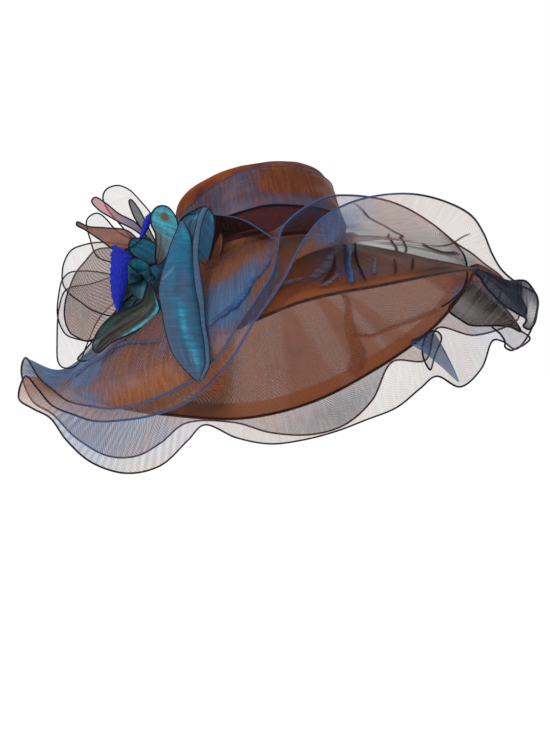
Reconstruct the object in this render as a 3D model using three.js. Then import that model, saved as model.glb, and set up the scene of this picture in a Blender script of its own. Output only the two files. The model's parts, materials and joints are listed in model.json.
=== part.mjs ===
// Dress hat of sheer cloth with a wide sloping brim, two long ruffles and a flower of loops, as it is worn.
// Millimetres, +Z up, X to the viewer's right, Y away from the viewer.
// The origin is the middle of the head opening. The crown leans to -X and tips back.
import * as THREE from "three";

const CLOTH = 1.2;
const STIFF_CLOTH = 1.8;
const FEATHER = 2;
const SEAM_GAP = 0.4;
const LEAN = THREE.MathUtils.degToRad(12);
const TIP_BACK = THREE.MathUtils.degToRad(13);

const CROWN_DEEP = 1.05;
const CROWN_SHIFT = 7;
const CROWN_LINE = [
  { radius: 105, rise: 0 },
  { radius: 101.5, rise: 30 },
  { radius: 96.5, rise: 60 },
  { radius: 92.5, rise: 84 },
  { radius: 86, rise: 98 },
  { radius: 72, rise: 107 },
  { radius: 45, rise: 112 },
  { radius: 0, rise: 114 },
];
const CROWN_HEIGHT = CROWN_LINE.at(-1).rise;

const RIM_REACH = 236;
const BINDING_RADIUS = 1.8;
const RIM_DROP = [
  { turn: -165, drop: 113 },
  { turn: -141, drop: 99 },
  { turn: -115, drop: 89 },
  { turn: -92, drop: 90 },
  { turn: -70, drop: 106 },
  { turn: -48, drop: 122 },
  { turn: -26, drop: 127 },
  { turn: -8, drop: 115 },
  { turn: 8, drop: 103 },
  { turn: 30, drop: 96 },
  { turn: 52, drop: 82 },
  { turn: 72, drop: 66 },
  { turn: 90, drop: 49 },
  { turn: 108, drop: 53 },
  { turn: 128, drop: 71 },
  { turn: 151, drop: 91 },
  { turn: 174, drop: 110 },
];

const BAND_EDGES = [
  { turn: -130, low: 30, high: 66 },
  { turn: -90, low: 40, high: 68 },
  { turn: -45, low: 50, high: 78 },
  { turn: -15, low: 49, high: 94 },
  { turn: 10, low: 52, high: 98 },
  { turn: 30, low: 47, high: 96 },
  { turn: 60, low: 42, high: 88 },
  { turn: 110, low: 30, high: 78 },
  { turn: 180, low: 26, high: 72 },
];

// One row for each fold of a ruffle's free edge: where it is round the hat, how far out and how high.
const UPPER_RUFFLE = {
  overBrim: 13,
  outsideRim: 10,
  sag: 0,
  folds: [
    { turn: -164, reach: 264, rise: -114 },
    { turn: -152, reach: 285, rise: -102 },
    { turn: -146, reach: 302, rise: -120 },
    { turn: -139, reach: 306, rise: -134 },
    { turn: -132, reach: 314, rise: -131 },
    { turn: -124, reach: 319, rise: -108 },
    { turn: -115, reach: 312, rise: -83 },
    { turn: -106, reach: 311, rise: -72 },
    { turn: -97, reach: 302, rise: -48 },
    { turn: -91, reach: 288, rise: -40 },
    { turn: -86, reach: 275, rise: -72 },
    { turn: -80, reach: 262, rise: -97 },
    { turn: -70, reach: 256, rise: -122 },
    { turn: -58, reach: 254, rise: -143 },
    { turn: -46, reach: 256, rise: -162 },
    { turn: -34, reach: 256, rise: -169 },
    { turn: -23, reach: 255, rise: -163 },
    { turn: -15, reach: 254, rise: -147 },
    { turn: -9, reach: 251, rise: -120 },
    { turn: -3, reach: 246, rise: -94 },
    { turn: 2, reach: 230, rise: -68 },
    { turn: 5, reach: 212, rise: -40 },
    { turn: 8, reach: 208, rise: -15 },
    { turn: 14, reach: 214, rise: 0 },
    { turn: 22, reach: 221, rise: 9 },
    { turn: 29, reach: 217, rise: 11 },
    { turn: 38, reach: 224, rise: 4 },
    { turn: 48, reach: 223, rise: -4 },
    { turn: 58, reach: 227, rise: -20 },
    { turn: 70, reach: 231, rise: -36 },
    { turn: 80, reach: 238, rise: -40 },
    { turn: 90, reach: 250, rise: -44 },
    { turn: 98, reach: 276, rise: -60 },
    { turn: 106, reach: 298, rise: -90 },
    { turn: 113, reach: 304, rise: -94 },
    { turn: 122, reach: 276, rise: -92 },
    { turn: 130, reach: 254, rise: -70 },
    { turn: 139, reach: 265, rise: -98 },
    { turn: 148, reach: 254, rise: -88 },
    { turn: 157, reach: 257, rise: -126 },
    { turn: 166, reach: 254, rise: -147 },
    { turn: 176, reach: 260, rise: -148 },
    { turn: 187, reach: 264, rise: -134 },
  ],
};
const LOWER_RUFFLE = {
  overBrim: 6,
  outsideRim: 7,
  sag: 0.5,
  folds: [
    { turn: -163, reach: 256, rise: -135 },
    { turn: -155, reach: 262, rise: -112 },
    { turn: -150, reach: 270, rise: -128 },
    { turn: -142, reach: 280, rise: -154 },
    { turn: -132, reach: 289, rise: -160 },
    { turn: -124, reach: 303, rise: -143 },
    { turn: -117, reach: 306, rise: -117 },
    { turn: -110, reach: 302, rise: -93 },
    { turn: -104, reach: 308, rise: -84 },
    { turn: -98, reach: 312, rise: -76 },
    { turn: -92, reach: 293, rise: -60 },
    { turn: -87, reach: 279, rise: -84 },
    { turn: -81, reach: 267, rise: -112 },
    { turn: -70, reach: 251, rise: -139 },
    { turn: -57, reach: 250, rise: -162 },
    { turn: -45, reach: 249, rise: -176 },
    { turn: -35, reach: 248, rise: -183 },
    { turn: -25, reach: 247, rise: -181 },
    { turn: -17, reach: 247, rise: -166 },
    { turn: -11, reach: 246, rise: -146 },
    { turn: -5, reach: 246, rise: -119 },
    { turn: 0, reach: 246, rise: -99 },
    { turn: 5, reach: 240, rise: -76 },
    { turn: 9, reach: 241, rise: -53 },
    { turn: 12, reach: 246, rise: -39 },
    { turn: 16, reach: 253, rise: -25 },
    { turn: 22, reach: 259, rise: -14 },
    { turn: 30, reach: 264, rise: -8 },
    { turn: 40, reach: 267, rise: -7 },
    { turn: 50, reach: 269, rise: -13 },
    { turn: 60, reach: 270, rise: -23 },
    { turn: 69, reach: 265, rise: -35 },
    { turn: 78, reach: 262, rise: -51 },
    { turn: 86, reach: 268, rise: -63 },
    { turn: 92, reach: 285, rise: -75 },
    { turn: 97, reach: 308, rise: -87 },
    { turn: 102, reach: 300, rise: -118 },
    { turn: 107, reach: 286, rise: -133 },
    { turn: 112, reach: 283, rise: -116 },
    { turn: 117, reach: 283, rise: -108 },
    { turn: 122, reach: 276, rise: -134 },
    { turn: 128, reach: 261, rise: -148 },
    { turn: 134, reach: 252, rise: -126 },
    { turn: 141, reach: 254, rise: -132 },
    { turn: 149, reach: 248, rise: -146 },
    { turn: 159, reach: 246, rise: -150 },
    { turn: 169, reach: 247, rise: -154 },
    { turn: 179, reach: 252, rise: -154 },
    { turn: 188, reach: 255, rise: -150 },
  ],
};

// Frill: where it is sewn to the crown, and a row for each point of its free edge.
const FRILL_FOOT_RISE = 20;
const FRILL_EDGE = [
  { turn: -34, reach: 119, rise: 56 },
  { turn: -20, reach: 129, rise: 48 },
  { turn: -5, reach: 141, rise: 30 },
  { turn: 3, reach: 160, rise: 5 },
  { turn: 6, reach: 178, rise: -11 },
];

// The flower's knot, and the shallow bowl on which its loops and leaves lie.
const KNOT_FRONT = new THREE.Vector3(-123, -120, -12);
const KNOT_FOOT = new THREE.Vector3(-87.1, -64.6, 24.9);
const KNOT_RADIUS = 9;
const FLOWER_AWAY = new THREE.Vector3(0.3, 0.93, 0.2).normalize();
const BOWL_SLOPE = 0.15;
const BOWL_WAVE = { height: 3, length: 150 };

// `back` says how far along the knot a piece is gathered, x and z where its tip shows, and `round` how far
// out it is widest. A piece that curves has a bend point.
const LOOPS = [
  {
    name: "blue_leaf", back: 0.32, x: -205, z: -101, bend: [-170, -22], forward: 12,
    width: 12, round: 1.2, color: 0x3a6a86,
  },
  {
    name: "green_leaf", back: 0.1, x: -182, z: -91, bend: [-137, -56], forward: 74,
    width: 27, round: 1.1, color: 0x10463c,
  },
  { name: "teal_loop", back: 0.14, x: -106, z: 63, width: 30, round: 1.9, color: 0x1a8aa0 },
  { name: "teal_fold", back: 0.2, x: -146, z: 27, width: 26, round: 1.3, color: 0x12516a },
  { name: "brown_petal", back: 0.26, x: -205, z: 49, width: 18, round: 1, color: 0x6a4a38 },
  { name: "pink_petal", back: 0.38, x: -185, z: 77, width: 15, round: 1.6, color: 0xb88a90 },
  { name: "grey_petal", back: 0.44, x: -147, z: 75, width: 9, round: 1.4, color: 0x70747a },
  { name: "top_petal", back: 0.5, x: -160, z: 89, width: 45, round: 1.9, color: 0xcfc6c6 },
  { name: "teal_back", back: 0.56, x: -58, z: 63, width: 29, round: 1.8, color: 0x1c6f88 },
  { name: "upper_petal", back: 0.62, x: -192, z: 61, width: 33, round: 1.8, color: 0xcfc6c6 },
  { name: "left_petal", back: 0.68, x: -229, z: 4, width: 52, round: 1.7, color: 0xcfc0b8 },
  { name: "brown_leaf", back: 0.74, x: -43, z: 38, width: 15, round: 1.2, color: 0x6e3820 },
  {
    name: "net_petal", back: 0.79, x: -218, z: -77, bend: [-170, 20],
    width: 50, round: 1.7, color: 0xa08878,
  },
  {
    name: "low_petal", back: 0.84, x: -236, z: -50, bend: [-170, 12],
    width: 54, round: 1.8, color: 0xb8a498,
  },
  { name: "tail_petal", back: 0.89, x: -231, z: -98, bend: [-190, 12], width: 38, round: 2, color: 0xd8d2d2 },
];
const FEATHERS = [
  {
    name: "feather_long", back: 0.32, x: -160, z: -51, bend: [-174, 57],
    width: 23, round: 2.3, color: 0x1420b8,
  },
  {
    name: "feather_short", back: 0.95, x: -132, z: 30, bend: [-112, 74],
    width: 10, round: 1.5, color: 0x1420b8,
  },
];
// The long drop of teal cloth: up from the knot, over, and down in front of the ruffles.
const DROP = [
  { x: -116, y: -123, z: -3, width: 4 },
  { x: -95, y: -146, z: 32, width: 20 },
  { x: -79, y: -153, z: 55, width: 29 },
  { x: -79, y: -167, z: 37, width: 27 },
  { x: -86, y: -183, z: 10, width: 29 },
  { x: -88, y: -205, z: -22, width: 41 },
  { x: -86, y: -237, z: -55, width: 41 },
  { x: -77, y: -267, z: -85, width: 37 },
  { x: -67, y: -283, z: -107, width: 26 },
  { x: -61, y: -291, z: -122, width: 9 },
];

// A point in the hat's own frame: the turn runs from the front towards the viewer's right.
function polar(turn, reach, rise) {
  const angle = THREE.MathUtils.degToRad(turn);
  return new THREE.Vector3(reach * Math.sin(angle), -reach * Math.cos(angle), rise);
}

// A smooth function of the turn that passes through one column of a table and closes on itself.
function around(rows, column) {
  const count = rows.length;
  const row = (i) => {
    const lap = Math.floor(i / count);
    const { turn, [column]: value } = rows[i - lap * count];
    return { turn: turn + 360 * lap, value };
  };
  return (turn) => {
    const first = rows[0].turn;
    const t = first + THREE.MathUtils.euclideanModulo(turn - first, 360);
    let i = 0;
    while (row(i + 1).turn <= t) i++;
    const [a, b, c, d] = [row(i - 1), row(i), row(i + 1), row(i + 2)];
    const width = c.turn - b.turn;
    const x = (t - b.turn) / width;
    const startSlope = ((c.value - a.value) / (c.turn - a.turn)) * width;
    const endSlope = ((d.value - b.value) / (d.turn - b.turn)) * width;
    const [x2, x3] = [x * x, x * x * x];
    return (
      (2 * x3 - 3 * x2 + 1) * b.value +
      (x3 - 2 * x2 + x) * startSlope +
      (3 * x2 - 2 * x3) * c.value +
      (x3 - x2) * endSlope
    );
  };
}

// Moves each vertex of a thin geometry to at(along, across), half a thickness to its own side of it.
function bend(geometry, address, at, thickness) {
  const step = 1e-3;
  const position = geometry.getAttribute("position");
  for (let i = 0; i < position.count; i++) {
    const { along, across, side } = address(position.getX(i), position.getY(i), position.getZ(i));
    const middle = at(along, across);
    const alongWay = at(along + step, across).sub(at(along - step, across));
    const acrossWay = at(along, across + step).sub(at(along, across - step));
    const normal = alongWay.cross(acrossWay).normalize();
    middle.addScaledVector(normal, (side * thickness) / 2);
    position.setXYZ(i, middle.x, middle.y, middle.z);
  }
  geometry.computeVertexNormals();
  return geometry;
}

// A closed ring of cloth: at(along, across) with along from 0 to 1 round the ring.
function ringOfCloth(at, steps, spans, thickness) {
  const side = (y) => Array.from({ length: spans + 1 }, (_, i) => new THREE.Vector2(1 + i / spans, y));
  const profile = [...side(-1), ...side(1).reverse()];
  profile.push(profile[0].clone());
  const geometry = new THREE.LatheGeometry(profile, steps);
  const address = (x, y, z) => ({
    along: THREE.MathUtils.euclideanModulo(Math.atan2(x, -z) / (2 * Math.PI), 1),
    across: Math.hypot(x, z) - 1,
    side: y,
  });
  return bend(geometry, address, at, thickness);
}

// A panel of cloth with four sides: along and across both run from 0 to 1.
function panelOfCloth(at, steps, spans, thickness) {
  const geometry = new THREE.BoxGeometry(1, 1, 1, steps, spans, 1);
  const address = (x, y, z) => ({ along: x + 0.5, across: y + 0.5, side: 2 * z });
  return bend(geometry, address, at, thickness);
}

function cloth(name, geometry, color, roughness = 0.5) {
  const material = new THREE.MeshStandardMaterial({ color, roughness, metalness: 0 });
  const mesh = new THREE.Mesh(geometry, material);
  mesh.name = name;
  return mesh;
}

// Crown: an oval dome open below. The outer line is pushed outwards by `out` along its own normal.
const crownLine = new THREE.CatmullRomCurve3(
  CROWN_LINE.map(({ radius, rise }) => new THREE.Vector3(radius, rise, 0)),
  false,
  "centripetal",
);

function crownPoint(turn, along, out) {
  const middle = crownLine.getPoint(along);
  const way = crownLine.getTangent(along);
  const angle = THREE.MathUtils.degToRad(turn);
  const radius = middle.x + out * way.y;
  const rise = middle.y - out * way.x;
  const shift = (CROWN_SHIFT * rise) / CROWN_HEIGHT;
  return new THREE.Vector3(radius * Math.sin(angle) + shift, -radius * CROWN_DEEP * Math.cos(angle), rise);
}

function crown() {
  const SPANS = 10;
  const STEPS = 36;
  const wall = (depth) =>
    Array.from({ length: SPANS + 1 }, (_, i) => {
      const along = i / SPANS;
      const way = crownLine.getTangent(along);
      const point = crownLine.getPoint(along);
      const radius = i === SPANS ? 0 : point.x - depth * way.y;
      return new THREE.Vector2(radius, i === SPANS ? CROWN_HEIGHT - depth : point.y + depth * way.x);
    });
  const profile = [...wall(0).reverse(), ...wall(STIFF_CLOTH)];
  const geometry = new THREE.LatheGeometry(profile.reverse(), STEPS);
  const position = geometry.getAttribute("position");
  for (let i = 0; i < position.count; i++) {
    const rise = position.getY(i);
    const shift = (CROWN_SHIFT * rise) / CROWN_HEIGHT;
    position.setXYZ(i, position.getX(i) + shift, -position.getZ(i) * CROWN_DEEP, rise);
  }
  geometry.computeVertexNormals();
  return cloth("crown", geometry, 0x7a4524);
}

// Along the crown's line, where a given height is reached.
function crownAlong(rise) {
  let [low, high] = [0, 1];
  while (high - low > 1e-4) {
    const middle = (low + high) / 2;
    if (crownLine.getPoint(middle).y < rise) low = middle;
    else high = middle;
  }
  return low;
}

function crownBand() {
  const CLEAR = 1.8;
  const THICKNESS = 1;
  const STEPS = 48;
  const SPANS = 3;
  const low = around(BAND_EDGES, "low");
  const high = around(BAND_EDGES, "high");
  const at = (along, across) => {
    const turn = 360 * along;
    const rise = THREE.MathUtils.lerp(low(turn), high(turn), across);
    return crownPoint(turn, crownAlong(rise), CLEAR);
  };
  return cloth("crown_band", ringOfCloth(at, STEPS, SPANS, THICKNESS), 0x6a6a84);
}

// Brim: from the foot of the crown down to the bound rim.
const rimDrop = around(RIM_DROP, "drop");
const BRIM_START = CROWN_LINE[0].radius + SEAM_GAP;
const RIM_STEPS = 64;

function brimStart(turn) {
  const angle = THREE.MathUtils.degToRad(turn);
  return new THREE.Vector3(BRIM_START * Math.sin(angle), -BRIM_START * CROWN_DEEP * Math.cos(angle), 0);
}

// Height of the brim's middle surface, which steepens towards the rim and goes on past it.
function brimRise(turn, reach) {
  const EASE = 0.72;
  const start = brimStart(turn).length();
  const share = Math.max(0, (reach - start) / (RIM_REACH - start));
  return -rimDrop(turn) * share * (EASE + (1 - EASE) * share);
}

function brim() {
  const SPANS = 3;
  const at = (along, across) => {
    const turn = 360 * along;
    const point = brimStart(turn).lerp(polar(turn, RIM_REACH, 0), across);
    point.z = brimRise(turn, point.length());
    return point;
  };
  return cloth("brim", ringOfCloth(at, RIM_STEPS, SPANS, STIFF_CLOTH), 0x8a5030);
}

function brimBinding() {
  const SIDES = 5;
  const profile = Array.from({ length: SIDES + 1 }, (_, i) => {
    const angle = (-2 * Math.PI * (i % SIDES)) / SIDES;
    return new THREE.Vector2(2 + Math.cos(angle), Math.sin(angle));
  });
  const geometry = new THREE.LatheGeometry(profile, RIM_STEPS);
  const reach = RIM_REACH + BINDING_RADIUS + SEAM_GAP;
  const position = geometry.getAttribute("position");
  for (let i = 0; i < position.count; i++) {
    const turn = THREE.MathUtils.radToDeg(Math.atan2(position.getX(i), -position.getZ(i)));
    const out = BINDING_RADIUS * (Math.hypot(position.getX(i), position.getZ(i)) - 2);
    const up = BINDING_RADIUS * position.getY(i);
    const point = polar(turn, reach + out, brimRise(turn, reach) + up);
    position.setXYZ(i, point.x, point.y, point.z);
  }
  geometry.computeVertexNormals();
  return cloth("brim_binding", geometry, 0x2c1710);
}

// Ruffle: a ring of cloth sewn to the wall of the crown at the height overBrim. It lies over the brim where
// its edge hangs below the rim or curls up beyond it at the side, and stands clear of the brim elsewhere.
function ruffle(name, { overBrim, outsideRim, sag, folds }, color) {
  const HANG_FROM = -20;
  const HANG_TO = 10;
  const CURL_FROM = -112;
  const CURL_TO = -82;
  const CURL_SAG = 0.55;
  const FREE_SHOULDER = 0.75;
  const CREST_CLEAR = 4;
  const SPANS = 5;
  const lines = { seam: [], crest: [], shoulder: [], edge: [] };
  for (const { turn, reach, rise } of folds) {
    const over = (at) => brimRise(turn, at) + overBrim;
    const hang = brimRise(turn, Math.min(reach, RIM_REACH)) - rise;
    const curls = turn > CURL_FROM && turn < CURL_TO;
    const hanging = curls ? 1 : THREE.MathUtils.smoothstep(hang, HANG_FROM, HANG_TO);
    const seam = crownPoint(turn, crownAlong(overBrim), CLOTH / 2 + SEAM_GAP);
    const start = Math.hypot(seam.x, seam.y);
    const freeReach = THREE.MathUtils.lerp(start, reach, FREE_SHOULDER);
    const rimReach = Math.min(RIM_REACH + 2 * BINDING_RADIUS + outsideRim, reach - 1);
    const shoulderReach = THREE.MathUtils.lerp(freeReach, rimReach, hanging);
    const chord = (at) => THREE.MathUtils.mapLinear(at, start, reach, seam.z, rise);
    const free = THREE.MathUtils.lerp(chord(shoulderReach), over(shoulderReach), curls ? CURL_SAG : sag);
    const shoulderRise = Math.max(free, over(shoulderReach));
    const crestReach = (start + shoulderReach) / 2;
    const crestRise = Math.max((seam.z + shoulderRise) / 2, over(crestReach) + CREST_CLEAR);
    lines.seam.push(seam);
    lines.crest.push(polar(turn, crestReach, crestRise));
    lines.shoulder.push(polar(turn, shoulderReach, shoulderRise));
    lines.edge.push(polar(turn, reach, rise));
  }
  const curves = Object.values(lines).map((points) => new THREE.CatmullRomCurve3(points, true));
  const at = (along, across) => {
    const turned = THREE.MathUtils.euclideanModulo(along, 1);
    const section = curves.map((curve) => curve.getPoint(turned));
    return new THREE.CatmullRomCurve3(section).getPoint(THREE.MathUtils.clamp(across, 0, 1));
  };
  return cloth(name, ringOfCloth(at, 2 * folds.length, SPANS, CLOTH), color, 0.4);
}

// Frill: a short strip against the front of the crown, from the flower to the deep fold of the ruffles.
function crownFrill() {
  const STEPS = 12;
  const SPANS = 3;
  const edgePoints = FRILL_EDGE.map(({ turn, reach, rise }) => polar(turn, reach, rise));
  const edge = new THREE.CatmullRomCurve3(edgePoints);
  const feet = FRILL_EDGE.map(({ turn }) => crownPoint(turn, crownAlong(FRILL_FOOT_RISE), CLOTH));
  const foot = new THREE.CatmullRomCurve3(feet);
  const at = (along, across) => {
    const share = THREE.MathUtils.clamp(along, 0, 1);
    return foot.getPoint(share).lerp(edge.getPoint(share), across);
  };
  return cloth("crown_frill", panelOfCloth(at, STEPS, SPANS, CLOTH), 0x5a3c34);
}

// Flower: loops and leaves gathered on a short knot that is sewn to the side of the crown. All of them
// spread from the knot as parallel shallow bowls, one behind the other, so none cuts through another.
function knotPoint(back) {
  return KNOT_FRONT.clone().lerp(KNOT_FOOT, back);
}

// How far a point is from the knot's axis.
function fromKnot(point) {
  const axis = new THREE.Line3(KNOT_FRONT, KNOT_FOOT);
  return axis.closestPointToPoint(point, false, new THREE.Vector3()).distanceTo(point);
}

function onBowl(back, forward, x, z) {
  const root = knotPoint(back);
  const flat = new THREE.Vector3(x, root.y, z);
  const behind = flat.clone().sub(root).dot(FLOWER_AWAY);
  flat.y -= behind / FLOWER_AWAY.y;
  const distance = flat.distanceTo(root);
  const wave = BOWL_WAVE.height * Math.sin((2 * Math.PI * distance) / BOWL_WAVE.length);
  flat.y -= (BOWL_SLOPE * distance + wave + forward) / FLOWER_AWAY.y;
  return flat;
}

function loop({ name, back, x, z, bend: bendPoint, forward = 0, width, round, color }, thickness = CLOTH) {
  const NARROWEST = 0.14;
  const FULLNESS = 0.6;
  const STEEP = 20;
  const ROOM = forward > STEEP ? 0.05 : 0.4;
  const STEPS = 10;
  const SPANS = 2;
  const root = knotPoint(back);
  const tip = new THREE.Vector2(x, z);
  const start = new THREE.Vector2(root.x, root.z);
  const through = bendPoint ? new THREE.Vector2(...bendPoint) : start.clone().lerp(tip, 0.5);
  const first = through.clone().sub(start).setLength(KNOT_RADIUS / 2);
  const clear = KNOT_RADIUS + SEAM_GAP + ROOM;
  while (fromKnot(onBowl(back, 0, start.x + first.x, start.y + first.y)) < clear) {
    first.multiplyScalar(1.01);
  }
  const line = new THREE.QuadraticBezierCurve(start.clone().add(first), through, tip);
  const at = (along, across) => {
    const share = THREE.MathUtils.clamp(along, 0, 1);
    const point = line.getPoint(share);
    const way = line.getTangent(share);
    const fullness = Math.max(NARROWEST, Math.sin(Math.PI * share ** round) ** FULLNESS);
    const aside = (across - 0.5) * width * fullness;
    const overrun = (along - share) * line.getLength();
    const pointX = point.x + way.y * aside + way.x * overrun;
    const pointZ = point.y - way.x * aside + way.y * overrun;
    return onBowl(back, forward * Math.sqrt(share), pointX, pointZ);
  };
  return cloth(name, panelOfCloth(at, STEPS, SPANS, thickness), color, 0.4);
}

function drop() {
  const STEPS = 22;
  const SPANS = 2;
  const line = new THREE.CatmullRomCurve3(DROP.map(({ x, y, z }) => new THREE.Vector3(x, y, z)));
  const widths = new THREE.CatmullRomCurve3(DROP.map(({ width }, i) => new THREE.Vector3(i, width, 0)));
  const at = (along, across) => {
    const share = THREE.MathUtils.clamp(along, 0, 1);
    const overrun = (along - share) * line.getLength();
    const point = line.getPoint(share).addScaledVector(line.getTangent(share), overrun);
    point.x += (across - 0.5) * widths.getPoint(share).y;
    return point;
  };
  return cloth("teal_drop", panelOfCloth(at, STEPS, SPANS, CLOTH), 0x1e7f9c, 0.35);
}

// The knot: gathered cloth with a rolled front end, thinner at its foot.
function knot() {
  const SIDES = 16;
  const length = KNOT_FRONT.distanceTo(KNOT_FOOT);
  const profile = [
    { radius: 0, from: 0 },
    { radius: 7, from: 0 },
    { radius: KNOT_RADIUS, from: 4 },
    { radius: KNOT_RADIUS, from: length - 4 },
    { radius: 8, from: length },
    { radius: 6, from: length + 3 },
    { radius: 4, from: length + 1 },
    { radius: 0, from: length },
  ];
  const points = profile.map(({ radius, from }) => new THREE.Vector2(radius, from));
  const geometry = new THREE.LatheGeometry(points, SIDES);
  const mesh = cloth("flower_knot", geometry, 0x0f4256);
  mesh.position.copy(KNOT_FOOT);
  const away = KNOT_FRONT.clone().sub(KNOT_FOOT).normalize();
  mesh.quaternion.setFromUnitVectors(new THREE.Vector3(0, 1, 0), away);
  return mesh;
}

const hat = new THREE.Group();
hat.rotation.set(-TIP_BACK, -LEAN, 0, "YXZ");
hat.add(
  crown(),
  crownBand(),
  crownFrill(),
  brim(),
  brimBinding(),
  ruffle("ruffle_upper", UPPER_RUFFLE, 0x4a5f7c),
  ruffle("ruffle_lower", LOWER_RUFFLE, 0x6b4a3c),
);

const flower = new THREE.Group();
flower.add(knot(), drop());
for (const row of LOOPS) flower.add(loop(row));
for (const row of FEATHERS) flower.add(loop(row, FEATHER));

const part = new THREE.Group();
part.add(hat, flower);
export default part;
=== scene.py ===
"""Dress hat of sheer organza with a wide brim, two long ruffles and a flower of loops, as it is worn."""

import json
import math

import bmesh
import bpy
import numpy as np
from mathutils import Matrix, Vector


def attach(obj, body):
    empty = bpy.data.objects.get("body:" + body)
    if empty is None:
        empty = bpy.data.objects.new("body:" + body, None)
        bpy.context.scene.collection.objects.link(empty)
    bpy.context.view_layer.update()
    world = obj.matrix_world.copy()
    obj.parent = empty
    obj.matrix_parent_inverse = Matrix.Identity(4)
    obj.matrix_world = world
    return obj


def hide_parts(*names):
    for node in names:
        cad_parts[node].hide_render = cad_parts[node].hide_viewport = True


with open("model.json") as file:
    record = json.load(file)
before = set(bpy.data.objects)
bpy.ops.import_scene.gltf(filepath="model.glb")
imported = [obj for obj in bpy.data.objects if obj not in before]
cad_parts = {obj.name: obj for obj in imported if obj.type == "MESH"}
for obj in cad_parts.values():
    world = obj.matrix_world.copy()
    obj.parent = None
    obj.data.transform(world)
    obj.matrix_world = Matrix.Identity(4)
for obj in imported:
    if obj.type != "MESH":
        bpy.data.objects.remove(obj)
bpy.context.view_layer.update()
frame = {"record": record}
scene = bpy.context.scene

# Camera: level with the middle of the view and straight in front, 2.5 m away, with a long lens that keeps
# the brim's near and far sides almost the same size.
EYE = Vector((0.01385, -2.5, -0.10905))
LENS_MM = 106.4
camera_data = bpy.data.cameras.new("camera")
camera_data.lens = LENS_MM
camera_data.sensor_width = 36
camera_data.sensor_fit = "AUTO"
camera = bpy.data.objects.new("camera", camera_data)
camera.location = EYE
camera.rotation_euler = (math.radians(90), 0, 0)
scene.collection.objects.link(camera)
scene.camera = camera

# Studio: a white surround that lights the hat less than it shows, a white floor far below and three soft
# lights, of which the key stands high at the left.
FLOOR_DROP = 0.6
FLOOR_RADIUS = 30
FLOOR_GLOW = 0.86
SURROUND_LIGHT = 0.5
scene.view_settings.view_transform = "Standard"
scene.cycles.transparent_max_bounces = 48

world = bpy.data.worlds.new("surround")
world.use_nodes = True
sky = world.node_tree
background = sky.nodes["Background"]
background.inputs["Color"].default_value = (1, 1, 1, 1)
seen = sky.nodes.new("ShaderNodeLightPath")
strength = sky.nodes.new("ShaderNodeMapRange")
strength.inputs["To Min"].default_value = SURROUND_LIGHT
sky.links.new(seen.outputs["Is Camera Ray"], strength.inputs["Value"])
sky.links.new(strength.outputs[0], background.inputs["Strength"])
scene.world = world


def soft_light(name, place, size, watts):
    """A square light that faces the hat."""
    data = bpy.data.lights.new(name, "AREA")
    data.size = size
    data.energy = watts
    light = bpy.data.objects.new(name, data)
    light.location = place
    light.rotation_euler = (-Vector(place)).to_track_quat("-Z", "Y").to_euler()
    scene.collection.objects.link(light)


soft_light("key", (-1.2, -1.7, 1.7), 0.8, 34)
soft_light("fill", (1.9, -1.6, 0.6), 1.4, 10)
soft_light("back", (0.6, 1.9, 1.4), 1.2, 14)


def object_of(name, mesh):
    """A new object with this mesh."""
    data = bpy.data.meshes.new(name)
    mesh.to_mesh(data)
    mesh.free()
    made = bpy.data.objects.new(name, data)
    scene.collection.objects.link(made)
    return made


floor_mesh = bmesh.new()
bmesh.ops.create_circle(floor_mesh, cap_ends=True, segments=96, radius=FLOOR_RADIUS)
bmesh.ops.translate(floor_mesh, verts=floor_mesh.verts, vec=(0, 0, -FLOOR_DROP))
floor = object_of("floor", floor_mesh)


# Cloth: every sheet of the hat is one grid that is laid along a function, in the hat's own frame or as worn.
# The hat's own frame has the crown upright, and the worn one leans to -X and tips back.
MM = 0.001
LEAN = math.radians(12)
TIP_BACK = math.radians(13)
TILT = np.array((Matrix.Rotation(-LEAN, 3, "Y") @ Matrix.Rotation(-TIP_BACK, 3, "X")))
MARKS = ("cool", "dense", "glow")
WELD = 1e-6
SPOT = "along across long wide cool dense glow"


def table(columns, rows):
    """Rows of values as records with these named columns."""
    return [dict(zip(columns.split(), row)) for row in rows]


def polar(turn, reach, rise):
    """A point in the hat's own frame: the turn in degrees runs from the front towards the viewer's right."""
    angle = np.radians(turn)
    return np.stack([reach * np.sin(angle), -reach * np.cos(angle), rise + 0 * angle], -1)


def hermite(start, out, end, into, part):
    """A smooth curve from start to end, which leaves and reaches them with these slopes."""
    square, cube = part**2, part**3
    return (
        (2 * cube - 3 * square + 1) * start
        + (cube - 2 * square + part) * out
        + (3 * square - 2 * cube) * end
        + (cube - square) * into
    )


def spline(points, share, closed=False):
    """Points on a smooth curve through the given ones, which may differ for each share."""
    points = np.asarray(points, float)
    count = len(points)
    place = np.asarray(share, float) * (count if closed else count - 1)
    first = np.floor(place).astype(int)
    if not closed:
        first = np.clip(first, 0, count - 2)
    own = (np.arange(points.shape[1]),) if points.ndim == 3 else ()
    near = []
    for step in (-1, 0, 1, 2):
        at = (first + step) % count if closed else np.clip(first + step, 0, count - 1)
        near.append(points[(at, *own)])
    if not closed:
        near[0] = np.where((first == 0)[..., None], 2 * near[1] - near[2], near[0])
        near[3] = np.where((first == count - 2)[..., None], 2 * near[2] - near[1], near[3])
    a, b, c, d = near
    pairs = ((a, b), (b, c), (c, d))
    gaps = [np.maximum(np.linalg.norm(q - p, axis=-1, keepdims=True), 1e-9) ** 0.5 for p, q in pairs]
    out = ((b - a) / gaps[0] - (c - a) / (gaps[0] + gaps[1]) + (c - b) / gaps[1]) * gaps[1]
    into = ((c - b) / gaps[1] - (d - b) / (gaps[1] + gaps[2]) + (d - c) / gaps[2]) * gaps[1]
    return hermite(b, out, c, into, (place - first)[..., None])


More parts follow.
